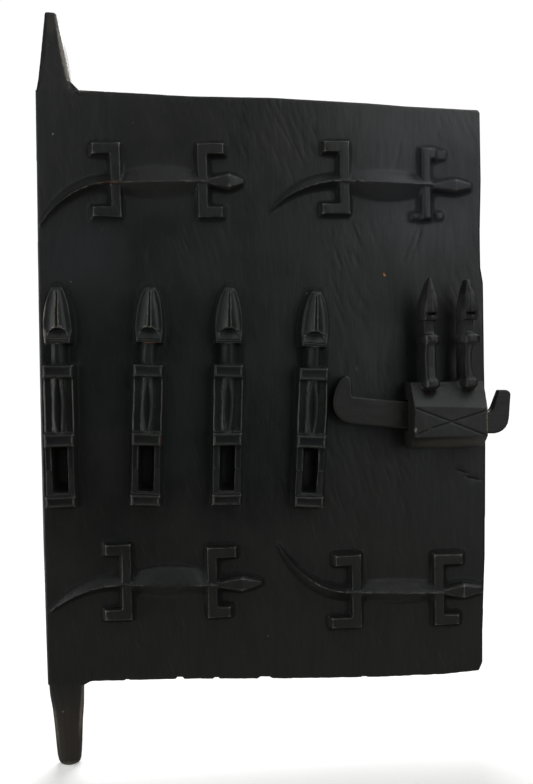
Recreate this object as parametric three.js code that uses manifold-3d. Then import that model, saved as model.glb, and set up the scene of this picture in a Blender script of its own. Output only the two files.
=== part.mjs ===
// A carved wooden granary door leaf: one thick plank with two pivot pins, four lizards and four
// standing figures carved in relief, and at its right edge a wooden lock with a sliding bolt.
// Millimetres. The origin is the flat end of the lower pivot pin, +Z runs up along the pivots,
// +X runs across the leaf to the lock, and the carved face looks towards -Y.
import * as THREE from 'three';
import { ConvexGeometry } from 'three/addons/geometries/ConvexGeometry.js';
import { mergeVertices } from 'three/addons/utils/BufferGeometryUtils.js';
import Module from 'manifold-3d';

const wasm = await Module();
wasm.setup();

// Driving sizes of the plank and its pins
const PLANK_THICKNESS = 34;
const PLANK_LEFT = -20.4;
const PLANK_RIGHT = 473;
const PLANK_BOTTOM = 84;
const PLANK_TOP = 739;
const TOP_EDGE_FALL = 20;
const BOTTOM_EDGE_RISE = 10.5;
const PLANK_EDGE_ROUND = 2;
const UPPER_PIVOT_TOP = 825;
const PIN_RUN_INTO_PLANK = 30;

// Driving sizes of the reliefs: how far they stand in front of the plank
const FIGURE_RELIEF = 25;
const LIZARD_RELIEF = 12.5;
const LEG_RELIEF = 9.5;
const SINK = 3;

// Driving sizes of the lock
const LOCK_LEFT = 378.5;
const LOCK_RIGHT = 458;
const LOCK_BOTTOM = 344;
const LOCK_TOP = 417;
const LOCK_DEPTH = 52;
const TOUCHING_GAP = 0.3;
const BOLT_TILT = THREE.MathUtils.degToRad(6.5);
const BOLT_CENTRE_Z = 375.7;
const BOLT_HALF_HEIGHT = 15.1;
const BOLT_BACK = 1;
const BOLT_FRONT = 21;
const BOLT_PLAY = 1;

const FACE_Y = -PLANK_THICKNESS / 2;

// Points, solids, unions and cuts

// A sine or cosine drawn out so that its circle gets squarer: 2 is round, 5 is a rounded square.
function squared(value, squareness) {
  return Math.sign(value) * Math.abs(value) ** (2 / squareness);
}

// A point given across, up, and as a depth in front of the plank's face.
function onFace(x, z, depth) {
  return new THREE.Vector3(x, FACE_Y - depth, z);
}

function solidOf(geometry) {
  const bare = new THREE.BufferGeometry();
  bare.setAttribute('position', geometry.getAttribute('position'));
  if (geometry.index) bare.setIndex(geometry.index);
  const merged = mergeVertices(bare, 1e-4);
  const mesh = new wasm.Mesh({
    numProp: 3,
    vertProperties: new Float32Array(merged.getAttribute('position').array),
    triVerts: new Uint32Array(merged.index.array),
  });
  return new wasm.Manifold(mesh);
}

function hullOf(points) {
  return solidOf(new ConvexGeometry(points));
}

// A closed skin over a row of slices that all have the same number of points.
function loftOf(slices) {
  const sides = slices[0].length;
  const last = (slices.length - 1) * sides;
  const triangles = [];
  for (let slice = 0; slice + 1 < slices.length; slice += 1) {
    for (let i = 0; i < sides; i += 1) {
      const near = slice * sides + i;
      const next = slice * sides + ((i + 1) % sides);
      triangles.push([near, next, next + sides], [near, next + sides, near + sides]);
    }
  }
  for (let i = 1; i + 1 < sides; i += 1) {
    triangles.push([0, i + 1, i], [last, last + i, last + i + 1]);
  }
  const points = slices.flat();
  const volume = triangles.reduce((sum, [a, b, c]) => (
    sum + points[a].dot(new THREE.Vector3().crossVectors(points[b], points[c]))
  ), 0);
  const outward = volume > 0 ? triangles : triangles.map(([a, b, c]) => [a, c, b]);
  const geometry = new THREE.BufferGeometry().setFromPoints(points);
  geometry.setIndex(outward.flat());
  return solidOf(geometry);
}

function joined(solids) {
  return solids.reduce((whole, solid) => whole.add(solid));
}

function without(whole, cuts) {
  return cuts.reduce((rest, cut) => rest.subtract(cut), whole);
}

function meshOf(solid, name, material) {
  const { vertProperties, triVerts, numProp } = solid.getMesh();
  const positions = new Float32Array((vertProperties.length / numProp) * 3);
  for (let i = 0; i < positions.length / 3; i += 1) {
    positions.set(vertProperties.slice(i * numProp, i * numProp + 3), i * 3);
  }
  const geometry = new THREE.BufferGeometry();
  geometry.setAttribute('position', new THREE.BufferAttribute(positions, 3));
  geometry.setIndex(new THREE.BufferAttribute(new Uint32Array(triVerts), 1));
  geometry.computeVertexNormals();
  const mesh = new THREE.Mesh(geometry, material);
  mesh.name = name;
  return mesh;
}

// A carver's own frame on the plank's face: across, along and depth, leaning to the right.
function carvingFrame(originX, originZ, leanDegrees = 0) {
  const lean = THREE.MathUtils.degToRad(leanDegrees);
  const cos = Math.cos(lean);
  const sin = Math.sin(lean);
  return (across, along, depth) => onFace(
    originX + across * cos + along * sin,
    originZ - across * sin + along * cos,
    depth,
  );
}

// A block that stands out of the face with sloping sides and bevelled front edges.
// The heights can differ at its lower and its upper end.
function block(at, { left, right, low, high, height, highHeight = height, bevel = 0, slope = 1.5 }) {
  const points = [];
  for (const [along, end, top] of [[low, -1, height], [high, 1, highHeight]]) {
    for (const [across, side] of [[left, -1], [right, 1]]) {
      points.push(at(across + side * slope, along + end * slope, -SINK));
      points.push(at(across, along, top - bevel));
      points.push(at(across - side * bevel, along - end * bevel, top));
    }
  }
  return hullOf(points);
}

// Half of a rounded front, from one side over the crown to the other.
function archPoints(at, along, halfWidth, sideDepth, crownDepth, steps = 8) {
  const points = [];
  for (let i = 0; i <= steps; i += 1) {
    const angle = (Math.PI * i) / steps;
    const depth = sideDepth + (crownDepth - sideDepth) * Math.sin(angle);
    points.push(at(halfWidth * Math.cos(angle), along, depth));
  }
  return points;
}

// The plank and its two pivot pins

function plank() {
  const stepOutZ = 530;
  const outline = new THREE.Shape();
  outline.moveTo(PLANK_LEFT, PLANK_BOTTOM + BOTTOM_EDGE_RISE - 1.5);
  outline.quadraticCurveTo(PLANK_LEFT - 2.4, 300, PLANK_LEFT + 3.4, PLANK_TOP);
  outline.lineTo(PLANK_LEFT + 52, PLANK_TOP);
  outline.lineTo(150, PLANK_TOP - 0.3 * TOP_EDGE_FALL);
  outline.lineTo(238, PLANK_TOP - 0.36 * TOP_EDGE_FALL);
  outline.lineTo(345, PLANK_TOP - 0.64 * TOP_EDGE_FALL);
  outline.lineTo(390, PLANK_TOP - 0.81 * TOP_EDGE_FALL);
  outline.lineTo(PLANK_RIGHT - 4, PLANK_TOP - TOP_EDGE_FALL);
  outline.lineTo(PLANK_RIGHT - 1.5, PLANK_TOP - TOP_EDGE_FALL - 3);
  outline.lineTo(PLANK_RIGHT - 1.2, 640);
  outline.lineTo(PLANK_RIGHT - 3, 585);
  outline.lineTo(PLANK_RIGHT - 3, stepOutZ + 13);
  outline.lineTo(PLANK_RIGHT - 0.3, stepOutZ - 4);
  outline.lineTo(PLANK_RIGHT, 339);
  outline.lineTo(PLANK_RIGHT - 2, 215);
  outline.lineTo(PLANK_RIGHT - 6, 132);
  outline.lineTo(PLANK_RIGHT - 6.5, PLANK_BOTTOM + 12);
  outline.lineTo(PLANK_RIGHT - 11, PLANK_BOTTOM + 2.5);
  outline.lineTo(420, PLANK_BOTTOM);
  outline.lineTo(345, PLANK_BOTTOM + 0.4);
  outline.lineTo(235, PLANK_BOTTOM + 3.8);
  outline.lineTo(119, PLANK_BOTTOM + 8.8);
  outline.lineTo(26, PLANK_BOTTOM + BOTTOM_EDGE_RISE);
  outline.lineTo(18, PLANK_BOTTOM + BOTTOM_EDGE_RISE - 4);
  outline.closePath();
  const geometry = new THREE.ExtrudeGeometry(outline, {
    depth: PLANK_THICKNESS - 2 * PLANK_EDGE_ROUND,
    bevelThickness: PLANK_EDGE_ROUND,
    bevelSize: PLANK_EDGE_ROUND,
    bevelOffset: -PLANK_EDGE_ROUND,
    bevelSegments: 1,
    curveSegments: 6,
  });
  geometry.translate(0, 0, -PLANK_THICKNESS / 2 + PLANK_EDGE_ROUND);
  geometry.rotateX(Math.PI / 2);
  return solidOf(geometry);
}

// One level of the hewn upper pin: a narrow bevel on its left, a flat front that falls away
// behind the facet line, and a side that turns back on its right.
function hewnPinLevel({ z, left, edgeLeft, facet, edgeRight, right, half }) {
  const facetDrop = 1.3;
  const bevelDepth = 0.3 * half;
  return [
    new THREE.Vector3(left, -half + bevelDepth, z),
    new THREE.Vector3(edgeLeft, -half, z),
    new THREE.Vector3(facet, -half, z),
    new THREE.Vector3(edgeRight, -half + facetDrop, z),
    new THREE.Vector3(0.3 * edgeRight + 0.7 * right, -0.45 * half, z),
    new THREE.Vector3(right, half - bevelDepth, z),
    new THREE.Vector3(right - bevelDepth, half, z),
    new THREE.Vector3(left + bevelDepth, half, z),
    new THREE.Vector3(left, half - bevelDepth, z),
  ];
}

function upperPivot() {
  const end = UPPER_PIVOT_TOP;
  const root = { edgeRight: 19.5, half: PLANK_THICKNESS / 2 };
  const levels = [
    { z: PLANK_TOP - PIN_RUN_INTO_PLANK, left: -15.4, edgeLeft: -13, facet: 15, right: 23, ...root },
    { z: PLANK_TOP, left: -16.8, edgeLeft: -13.5, facet: 14, right: 23.5, ...root },
    { z: PLANK_TOP + 12, left: -14.6, edgeLeft: -9.2, facet: 9.8, edgeRight: 16.4, right: 21.3, half: 15.5 },
    { z: end - 46, left: -11.2, edgeLeft: -5.6, facet: -3.5, edgeRight: 10.2, right: 16.2, half: 13.5 },
    { z: end - 24, left: -9, edgeLeft: -4.6, facet: -3.4, edgeRight: 7.2, right: 11.4, half: 11 },
    { z: end, left: -6.6, edgeLeft: -4.2, facet: -3, edgeRight: 3.6, right: 6.6, half: 8 },
  ];
  return loftOf(levels.map(hewnPinLevel));
}

// The step left by the saw where the upper pin meets the plank's top edge.
function upperPivotStep() {
  const stepRight = 28.5;
  const points = [];
  for (const y of [FACE_Y + 2.5, -FACE_Y - 2.5]) {
    points.push(new THREE.Vector3(16, y, PLANK_TOP - 8));
    points.push(new THREE.Vector3(stepRight + 3, y, PLANK_TOP - 8));
    points.push(new THREE.Vector3(stepRight, y, PLANK_TOP + 1));
    points.push(new THREE.Vector3(20, y, PLANK_TOP + 10));
    points.push(new THREE.Vector3(16, y, PLANK_TOP + 10));
  }
  return hullOf(points);
}

// One level of the lower pin: round at its end, and squarer where it grows out of the plank.
function turnedPinLevel({ z, left, right, half, squareness = 2 }, sides = 16) {
  const centre = (left + right) / 2;
  const flatDepth = squared(Math.cos(Math.PI / sides), squareness);
  const points = [];
  for (let i = 0; i < sides; i += 1) {
    const angle = (2 * Math.PI * (i + 0.5)) / sides;
    points.push(new THREE.Vector3(
      centre + ((right - left) / 2) * (squared(Math.cos(angle), squareness) / flatDepth),
      half * (squared(Math.sin(angle), squareness) / flatDepth),
      z,
    ));
  }
  return points;
}

function lowerPivot() {
  const root = PLANK_THICKNESS / 2;
  const edgeZ = PLANK_BOTTOM + BOTTOM_EDGE_RISE;
  const levels = [
    { z: 0, left: -8, right: 8, half: 7.5 },
    { z: 1.5, left: -11, right: 10.6, half: 9.8 },
    { z: 5, left: -12.8, right: 12.1, half: 11.4 },
    { z: 12, left: -14, right: 12.8, half: 12.4 },
    { z: 25, left: -15, right: 13.7, half: 13.2 },
    { z: 45, left: -16.3, right: 14.6, half: 14.2, squareness: 2.2 },
    { z: 63, left: -17.7, right: 16.1, half: 15.2, squareness: 2.6 },
    { z: 79, left: -19.8, right: 16.5, half: 16.2, squareness: 3.4 },
    { z: edgeZ - 2, left: PLANK_LEFT + 0.2, right: 16.7, half: root, squareness: 5 },
    { z: edgeZ + 3, left: PLANK_LEFT + 0.3, right: 16.4, half: root, squareness: 5 },
    { z: edgeZ + PIN_RUN_INTO_PLANK, left: -16, right: 11, half: root - 1, squareness: 4 },
  ];
  return loftOf(levels.map((level) => turnedPinLevel(level)));
}

// The standing figures, all cut to one pattern and each leaning its own way.
// Heights run up from the soles of the feet.

const FIGURES = [
  { x: 2.5, z: 290.5, lean: 0.2, grooveHalf: 3 },
  { x: 91.7, z: 289.5, lean: 2.47, grooveHalf: 2.2 },
  { x: 178.7, z: 287.5, lean: 2.0, grooveHalf: 2.2 },
  { x: 268, z: 282.5, lean: 3.2, grooveHalf: 2.4 },
];
const FEET_HIGH = 12.5;
const KNEE = 38.5;
const HIP_LOW = 64.5;
const HIP_HIGH = 79;
const SHOULDER_LOW = 138;
const SHOULDER_HIGH = 152;
const CHIN = 175;
const MOUTH = 190;
const CROWN = 238.5;
const BODY_HALF = 16;
const HEAD_HALF = 15.6;
const HEAD_FLARE = { left: 1.7, right: 0.6 };
const CHEEK_DEPTH = 17;
const FACE_DEPTH = 18.5;
const LIMB_DEPTH = 19.5;
const THIGH_DEPTH = 21.6;

// Half the width of the pointed head at a height above the soles.
function headHalf(along) {
  const rise = Math.max(0, (along - MOUTH) / (CROWN + 1.5 - MOUTH));
  const jaw = Math.max(0, (MOUTH - along) / (MOUTH - CHIN));
  return HEAD_HALF * (1 - rise ** 2) ** 0.6 - 1.6 * jaw;
}

// How much wider the head's foot is than its front, on one side.
function headFlare(side) {
  return side < 0 ? HEAD_FLARE.left : HEAD_FLARE.right;
}

function figureHead(at) {
  const faceInset = 0.6;
  const levels = [MOUTH - 1, 197, 206, 214, 222, 229, 234.5, CROWN];
  const points = [];
  for (const along of levels) {
    const half = headHalf(along);
    const face = Math.max(0.5, half - faceInset);
    const faceAlong = Math.min(along, CROWN - 3);
    for (const side of [-1, 1]) {
      points.push(at(side * (half + headFlare(side)), along + (along === CROWN ? 1 : 0), -SINK));
      points.push(at(side * half, along, CHEEK_DEPTH - (along === CROWN ? 4 : 0)));
      points.push(at(side * face, faceAlong, FACE_DEPTH - (along === CROWN ? 1 : 0)));
    }
  }
  for (const side of [-1, 1]) {
    points.push(at(side * 2, MOUTH - 1, FIGURE_RELIEF + 0.5));
    points.push(at(side * 1.3, CROWN - 8, FACE_DEPTH + 2.5));
  }
  return hullOf(points);
}

// The jaw slopes forward from the mouth to a straight lip above the neck.
function figureJaw(at) {
  const points = [];
  for (const side of [-1, 1]) {
    points.push(at(side * (headHalf(MOUTH) + headFlare(side)), MOUTH, -SINK));
    points.push(at(side * (headHalf(CHIN) + headFlare(side)), CHIN - 1, -SINK));
    points.push(at(side * headHalf(MOUTH), MOUTH, CHEEK_DEPTH));
    points.push(at(side * headHalf(CHIN), CHIN, CHEEK_DEPTH + 2));
    points.push(at(side * (headHalf(MOUTH) - 0.7), MOUTH, FACE_DEPTH));
    points.push(at(side * (headHalf(CHIN) - 0.7), CHIN + 4, 22.5));
    points.push(at(side * (headHalf(CHIN) - 0.9), CHIN, 21));
  }
  return hullOf(points);
}

function figureTorso(at, grooveHalf) {
  const bodyLevels = [
    [HIP_HIGH - 3, 6.6, 22.5],
    [94, 8.3, 24.2],
    [108, 8.8, 24.6],
    [122, 8.3, 24.2],
    [SHOULDER_LOW + 2, 7, 22.8],
  ];
  const body = hullOf(bodyLevels.flatMap(([along, half, crown]) => [
    at(-half, along, 0),
    at(half, along, 0),
    ...archPoints(at, along, half, 17, crown),
  ]));
  const groove = hullOf([
    at(0, 86, 25.5), at(0, 136, 25.5),
    at(-grooveHalf, 102, 26), at(grooveHalf, 102, 26),
    at(-grooveHalf, 120, 26), at(grooveHalf, 120, 26),
    at(0, 98, 20), at(0, 124, 20),
  ]);
  return without(body, [groove]);
}

function figure({ x, z, lean, grooveHalf }) {
  const at = carvingFrame(x, z, lean);
  const bar = { left: -BODY_HALF, right: BODY_HALF, height: FIGURE_RELIEF, bevel: 1.6 };
  const legs = block(at, {
    left: -BODY_HALF + 0.5, right: BODY_HALF - 0.5, low: FEET_HIGH - 3, high: KNEE + 1,
    height: LIMB_DEPTH, highHeight: LIMB_DEPTH + 0.8, bevel: 0.8,
  });
  const thighs = block(at, {
    left: -BODY_HALF + 0.5, right: BODY_HALF - 0.5, low: KNEE, high: HIP_LOW + 3,
    height: THIGH_DEPTH, bevel: 1.2,
  });
  const arms = block(at, {
    left: -BODY_HALF, right: BODY_HALF, low: HIP_HIGH - 3, high: SHOULDER_LOW + 3,
    height: LIMB_DEPTH, bevel: 0.8,
  });
  const neck = hullOf([CHIN + 3, SHOULDER_HIGH - 3].flatMap((along) => [
    at(-8, along, -SINK), at(8, along, -SINK), ...archPoints(at, along, 8, 13, 21.5),
  ]));
  const gapFloor = 0.6;
  const gap = hullOf([
    at(-6.8, FEET_HIGH + 7, gapFloor), at(6.8, FEET_HIGH + 7, gapFloor),
    at(-6.8, HIP_LOW - 1, gapFloor), at(6.8, HIP_LOW - 1, gapFloor),
    at(-8.4, FEET_HIGH + 2, 26), at(8.4, FEET_HIGH + 2, 26),
    at(-8.4, HIP_LOW, 26), at(8.4, HIP_LOW, 26),
  ]);
  return joined([
    without(joined([legs, thighs]), [gap]),
    block(at, { ...bar, low: 0, high: FEET_HIGH, height: FIGURE_RELIEF - 1 }),
    block(at, { ...bar, low: HIP_LOW, high: HIP_HIGH }),
    arms,
    figureTorso(at, grooveHalf),
    block(at, { ...bar, low: SHOULDER_LOW, high: SHOULDER_HIGH }),
    neck,
    figureJaw(at),
    figureHead(at),
  ]);
}

// The lizards. Each is placed by the middle of its rear legs on the ridge of its back,
// and its tail bends down, or up for the last one.

const BODY_LENGTH = 93;
const LEG_HALF = 5.6;
const FOOT_TALL = 12.5;
const LIZARDS = [
  {
    x: 67.5, z: 637, rise: 1, upper: 18.5, lower: 14, tailLength: 83, tailDrop: -44,
    head: { wide: 29, nose: 44.5, noseHalf: 4, half: 9.5, centre: 0.5 },
    rear: { top: 43.5, bottom: -37, upReach: 19, lowReach: 19 },
    front: { top: 41.5, bottom: -39, upReach: 17, lowReach: 15 },
  },
  {
    x: 316, z: 638, rise: -4, upper: 16, lower: 17.5, tailLength: 81, tailDrop: -30,
    head: { wide: 31, nose: 50, noseHalf: 4.5, half: 8.5, centre: -1.5 },
    rear: { top: 44, bottom: -36, upReach: 16, lowReach: 19 },
    front: { top: 41, bottom: -38, worn: true },
  },
  {
    x: 69, z: 202.5, rise: -4, upper: 20, lower: 14, tailLength: 84, tailDrop: -29,
    head: { wide: 33, nose: 56, noseHalf: 3, half: 9.5, centre: 0 },
    rear: { top: 44.5, bottom: -39, upReach: 16, lowReach: 18 },
    front: { top: 41.5, bottom: -36.5, upReach: 20, lowReach: 13 },
  },
  {
    x: 321.5, z: 184.5, rise: -4, upper: 11.5, lower: 13.5, tailLength: 88, tailDrop: 56,
    head: { wide: 28, nose: 52.5, noseHalf: 4.5, half: 9.3, centre: 0.5 },
    rear: { top: 42, bottom: -40, upReach: 17, lowReach: 22 },
    front: { top: 43, bottom: -37, upReach: 21, lowReach: 16 },
  },
];

// One slice across a lizard: a ridge between two sloping sides.
function lizardSlice(at, across, along, tangent, { up, down, ridge, edge }) {
  const normal = new THREE.Vector2(-tangent.y, tangent.x);
  const spot = (offset, depth) => at(across + normal.x * offset, along + normal.y * offset, depth);
  return [
    spot(up + 1.5, -SINK),
    spot(up, edge),
    spot(0, ridge),
    spot(-down, edge),
    spot(-down - 1.5, -SINK),
  ];
}

function lizardTail(at, { tailLength, tailDrop }) {
  const bend = 2.4;
  const steps = 9;
  const outer = 9.5;
  const inner = 6.5;
  const slices = [];
  for (let i = 0; i <= steps; i += 1) {
    const part = i / steps;
    const slope = (tailDrop * bend * part ** (bend - 1)) / tailLength;
    const tangent = new THREE.Vector2(1, -slope).normalize();
    const wide = outer * (1 - part ** 3) + 0.6;
    const narrow = inner * (1 - part) + 0.5;
    slices.push(lizardSlice(at, -tailLength * part, tailDrop * part ** bend, tangent, {
      up: tailDrop < 0 ? wide : narrow,
      down: tailDrop < 0 ? narrow : wide,
      ridge: LIZARD_RELIEF - 1 - 8.5 * part ** 2,
      edge: 1.2 - 0.4 * part,
    }));
  }
  return loftOf(slices);
}

function lizardBody(at, { rise, upper, lower }) {
  const steps = 8;
  const endHalf = 8.5;
  const overlap = 6;
  const slices = [];
  for (let i = 0; i <= steps; i += 1) {
    const part = i / steps;
    const swell = Math.sin(Math.PI * part) ** 0.8;
    slices.push(lizardSlice(at, BODY_LENGTH * part, rise * part, new THREE.Vector2(1, 0), {
      up: endHalf + (upper - endHalf) * swell,
      down: endHalf - 0.5 + (lower - endHalf + 0.5) * swell,
      ridge: LIZARD_RELIEF - 1 + swell,
      edge: 0.9,
    }));
  }
  slices.push(lizardSlice(at, BODY_LENGTH + overlap, rise, new THREE.Vector2(1, 0), {
    up: 5.5, down: 5.5, ridge: LIZARD_RELIEF - 2, edge: 3,
  }));
  return loftOf(slices);
}

// The head is a flat diamond on a short neck.
function lizardHead(at, { rise, head }) {
  const neck = BODY_LENGTH + 5;
  const outline = [
    [neck, 4.5, 9.5],
    [BODY_LENGTH + head.wide, head.half, LIZARD_RELIEF - 1.5],
    [BODY_LENGTH + head.nose, head.noseHalf, 6.5],
  ];
  const points = [];
  for (const [across, half, top] of outline) {
    const centre = rise + head.centre;
    const inset = Math.min(3, half / 2);
    for (const side of [-1, 1]) {
      points.push(at(across, centre + side * (half + 1), -SINK));
      points.push(at(across, centre + side * half, top - 4));
      points.push(at(across - (across > neck + 40 ? 2 : 0), centre + side * (half - inset), top));
    }
  }
  return hullOf(points);
}

// One leg pair: a bar across the body with a foot at each end, turned to one side.
function lizardLegs(at, across, side, { top, bottom, upReach, lowReach }) {
  const tall = { slope: 2, bevel: 1.2, height: LEG_RELIEF };
  const bar = block(at, {
    ...tall, left: across - LEG_HALF, right: across + LEG_HALF, low: bottom, high: top,
  });
  const foot = (low, high, reach) => {
    const toe = across + side * (LEG_HALF + reach);
    const heel = across;
    const points = [];
    for (const [along, end] of [[low, -1], [high, 1]]) {
      points.push(at(heel, along + end * 2, -SINK), at(toe + side * 6, along + end * 2, -SINK));
      points.push(at(heel, along, LEG_RELIEF - 1.2), at(toe + side * 1.5, along, LEG_RELIEF - 2.4));
      points.push(at(heel, along - end * 1.2, LEG_RELIEF), at(toe, along - end * 1.2, LEG_RELIEF));
    }
    return hullOf(points);
  };
  return joined([bar, foot(top - FOOT_TALL, top, upReach), foot(bottom, bottom + FOOT_TALL, lowReach)]);
}

// Front legs whose feet are broken off, with only rough stumps left on the face.
function wornLegs(at, across, { top, bottom }) {
  const bar = block(at, {
    left: across - LEG_HALF, right: across + LEG_HALF, low: bottom, high: top,
    slope: 2.5, bevel: 2, height: 9,
  });
  const upperStump = block(at, {
    left: across, right: across + 12, low: top - 13, high: top, slope: 2, bevel: 2, height: 7.5,
  });
  const upperScar = block(at, {
    left: across + 10, right: across + 24, low: top - 13, high: top - 2, slope: 2, bevel: 1.2, height: 2.6,
  });
  const lowerHeel = block(at, {
    left: across - 17, right: across + 2, low: bottom, high: bottom + 8, slope: 2, bevel: 1.5, height: 4.5,
  });
  const lowerScar = block(at, {
    left: across + 10, right: across + 20, low: bottom, high: bottom + 9, slope: 2, bevel: 1.2, height: 2.8,
  });
  return joined([bar, upperStump, upperScar, lowerHeel, lowerScar]);
}

function lizard(shape) {
  const at = carvingFrame(shape.x, shape.z);
  const frontAt = carvingFrame(shape.x, shape.z + shape.rise);
  const frontLegs = shape.front.worn
    ? wornLegs(frontAt, BODY_LENGTH - 2, shape.front)
    : lizardLegs(frontAt, BODY_LENGTH, 1, shape.front);
  return joined([
    lizardTail(at, shape),
    lizardBody(at, shape),
    lizardHead(at, shape),
    lizardLegs(at, 0, -1, shape.rear),
    frontLegs,
  ]);
}

// The lock: a box with a flat front between two slanted faces, on it two small figures,
// and in its back the channel for the bolt.

const LOCK_MIDDLE_X = (LOCK_LEFT + LOCK_RIGHT) / 2;
const FRONT_LOW = 358;
const FRONT_HIGH = 391.5;
const FRONT_HIGH_FALL = 3.5;

function lockBody() {
  const lowerFaceDepth = 29;
  const upperFaceDepth = 33;
  const points = [];
  for (const [x, fall] of [[LOCK_LEFT, 0], [LOCK_RIGHT, FRONT_HIGH_FALL]]) {
    const taper = x === LOCK_RIGHT ? 2 : 0;
    points.push(onFace(x + taper, LOCK_BOTTOM, TOUCHING_GAP));
    points.push(onFace(x + taper, LOCK_BOTTOM, lowerFaceDepth));
    points.push(onFace(x, FRONT_LOW, LOCK_DEPTH));
    points.push(onFace(x, FRONT_HIGH - fall, LOCK_DEPTH));
    points.push(onFace(x + taper, LOCK_TOP, upperFaceDepth));
    points.push(onFace(x + taper, LOCK_TOP, TOUCHING_GAP));
  }
  return hullOf(points);
}

// A point along and across the bolt, counted from the middle of the lock.
function onBolt(along, across, depth) {
  return onFace(
    LOCK_MIDDLE_X + along * Math.cos(BOLT_TILT) + across * Math.sin(BOLT_TILT),
    BOLT_CENTRE_Z - along * Math.sin(BOLT_TILT) + across * Math.cos(BOLT_TILT),
    depth,
  );
}

function boltChannel() {
  const reach = 70;
  const half = BOLT_HALF_HEIGHT + BOLT_PLAY;
  const points = [];
  for (const along of [-reach, reach]) {
    for (const across of [-half, half]) {
      points.push(onBolt(along, across, -5), onBolt(along, across, BOLT_FRONT + BOLT_PLAY));
    }
  }
  return hullOf(points);
}

// An incised line on the lock's front, a narrow V from one point to another.
function incisedLine([startX, startZ], [endX, endZ]) {
  const halfWidth = 1.2;
  const cutDepth = 1.6;
  const overshoot = 1;
  const across = new THREE.Vector2(endX - startX, endZ - startZ).normalize().multiplyScalar(halfWidth);
  const points = [];
  for (const [x, z] of [[startX, startZ], [endX, endZ]]) {
    const grow = 1 + overshoot / cutDepth;
    points.push(onFace(x - across.y * grow, z + across.x * grow, LOCK_DEPTH + overshoot));
    points.push(onFace(x + across.y * grow, z - across.x * grow, LOCK_DEPTH + overshoot));
    points.push(onFace(x, z, LOCK_DEPTH - cutDepth));
  }
  return hullOf(points);
}

// A slice of a lock figure between a back and a front depth: a square with well rounded corners.
function pillarSlice(x, z, half, back, front, sides = 16) {
  const middle = (back + front) / 2;
  const reach = (front - back) / 2;
  const squareness = 5;
  const points = [];
  for (let i = 0; i < sides; i += 1) {
    const angle = (2 * Math.PI * (i + 0.5)) / sides;
    const across = squared(Math.cos(angle), squareness);
    const out = squared(Math.sin(angle), squareness);
    points.push(onFace(x + half * across, z, middle + reach * out));
  }
  return points;
}

function pillarRing(x, low, high, half, front) {
  const bevel = 3;
  return hullOf([
    ...pillarSlice(x, low, half - bevel, 11, front - bevel),
    ...pillarSlice(x, low + bevel, half, 9, front),
    ...pillarSlice(x, high - bevel, half, 9, front),
    ...pillarSlice(x, high, half - bevel, 11, front - bevel),
  ]);
}

// A long head, broad in front and pointed above, with a slit for the mouth.
function pillarHead({ x, half, apexX, apexHalf, apexZ, slitX, slitHalf }, low) {
  const browZ = low + 14;
  const levels = [
    { z: low, share: 1, ridge: 49.5, back: 12 },
    { z: browZ, share: 1, ridge: 51.5, back: 12 },
    { z: low + 23, share: 0.87, ridge: 51, back: 15 },
    { z: low + 33, share: 0.58, ridge: 49, back: 20 },
  ];
  const points = [];
  for (const { z, share, ridge, back } of levels) {
    const middle = x + (apexX - x) * Math.max(0, (z - browZ) / (apexZ - browZ));
    points.push(onFace(middle, z, ridge));
    for (const side of [-1, 1]) {
      const reach = side * half * share;
      points.push(onFace(middle + reach * 0.84, z, ridge - 2.4), onFace(middle + reach, z, 42));
      points.push(onFace(middle + reach, z, back + 8), onFace(middle + reach * 0.6, z, back));
    }
  }
  for (const side of [-1, 1]) {
    points.push(onFace(apexX + side * apexHalf, apexZ, 44), onFace(apexX + side * apexHalf, apexZ, 30));
  }
  const mouthZ = low + 6.8;
  const mouth = hullOf([-slitHalf, slitHalf].flatMap((side) => [
    onFace(slitX + side, mouthZ - 1.6, 56), onFace(slitX + side, mouthZ + 2, 56),
    onFace(slitX + side * 0.85, mouthZ + 0.4, 45.5),
  ]));
  return without(hullOf(points), [mouth]);
}

function lockPillar({ base, waist, ring, neck, head }) {
  const baseLow = 409;
  const baseHigh = 421;
  const ringLow = 456;
  const ringHigh = 468;
  const headLow = 482;
  const torsoLow = baseHigh - 3;
  const torsoHigh = ringLow + 3;
  const slices = [];
  for (const part of [0, 0.15, 0.3, 0.5, 0.7, 0.85, 1]) {
    const pinch = Math.sin(Math.PI * part);
    slices.push(pillarSlice(
      waist.x - waist.pinch * pinch,
      torsoLow + (torsoHigh - torsoLow) * part,
      waist.half - waist.pinch * pinch,
      11,
      49 - 0.5 * pinch,
    ));
  }
  const neckSolid = hullOf([
    ...pillarSlice(neck.x, ringHigh - 3, neck.half + 0.5, 12, 46.5),
    ...pillarSlice(neck.x, headLow + 2, neck.half, 12, 45),
  ]);
  return joined([
    pillarRing(base.x, baseLow, baseHigh, base.half, 51),
    loftOf(slices),
    pillarRing(ring.x, ringLow, ringHigh, ring.half, 51.5),
    neckSolid,
    pillarHead(head, headLow),
  ]);
}

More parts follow.
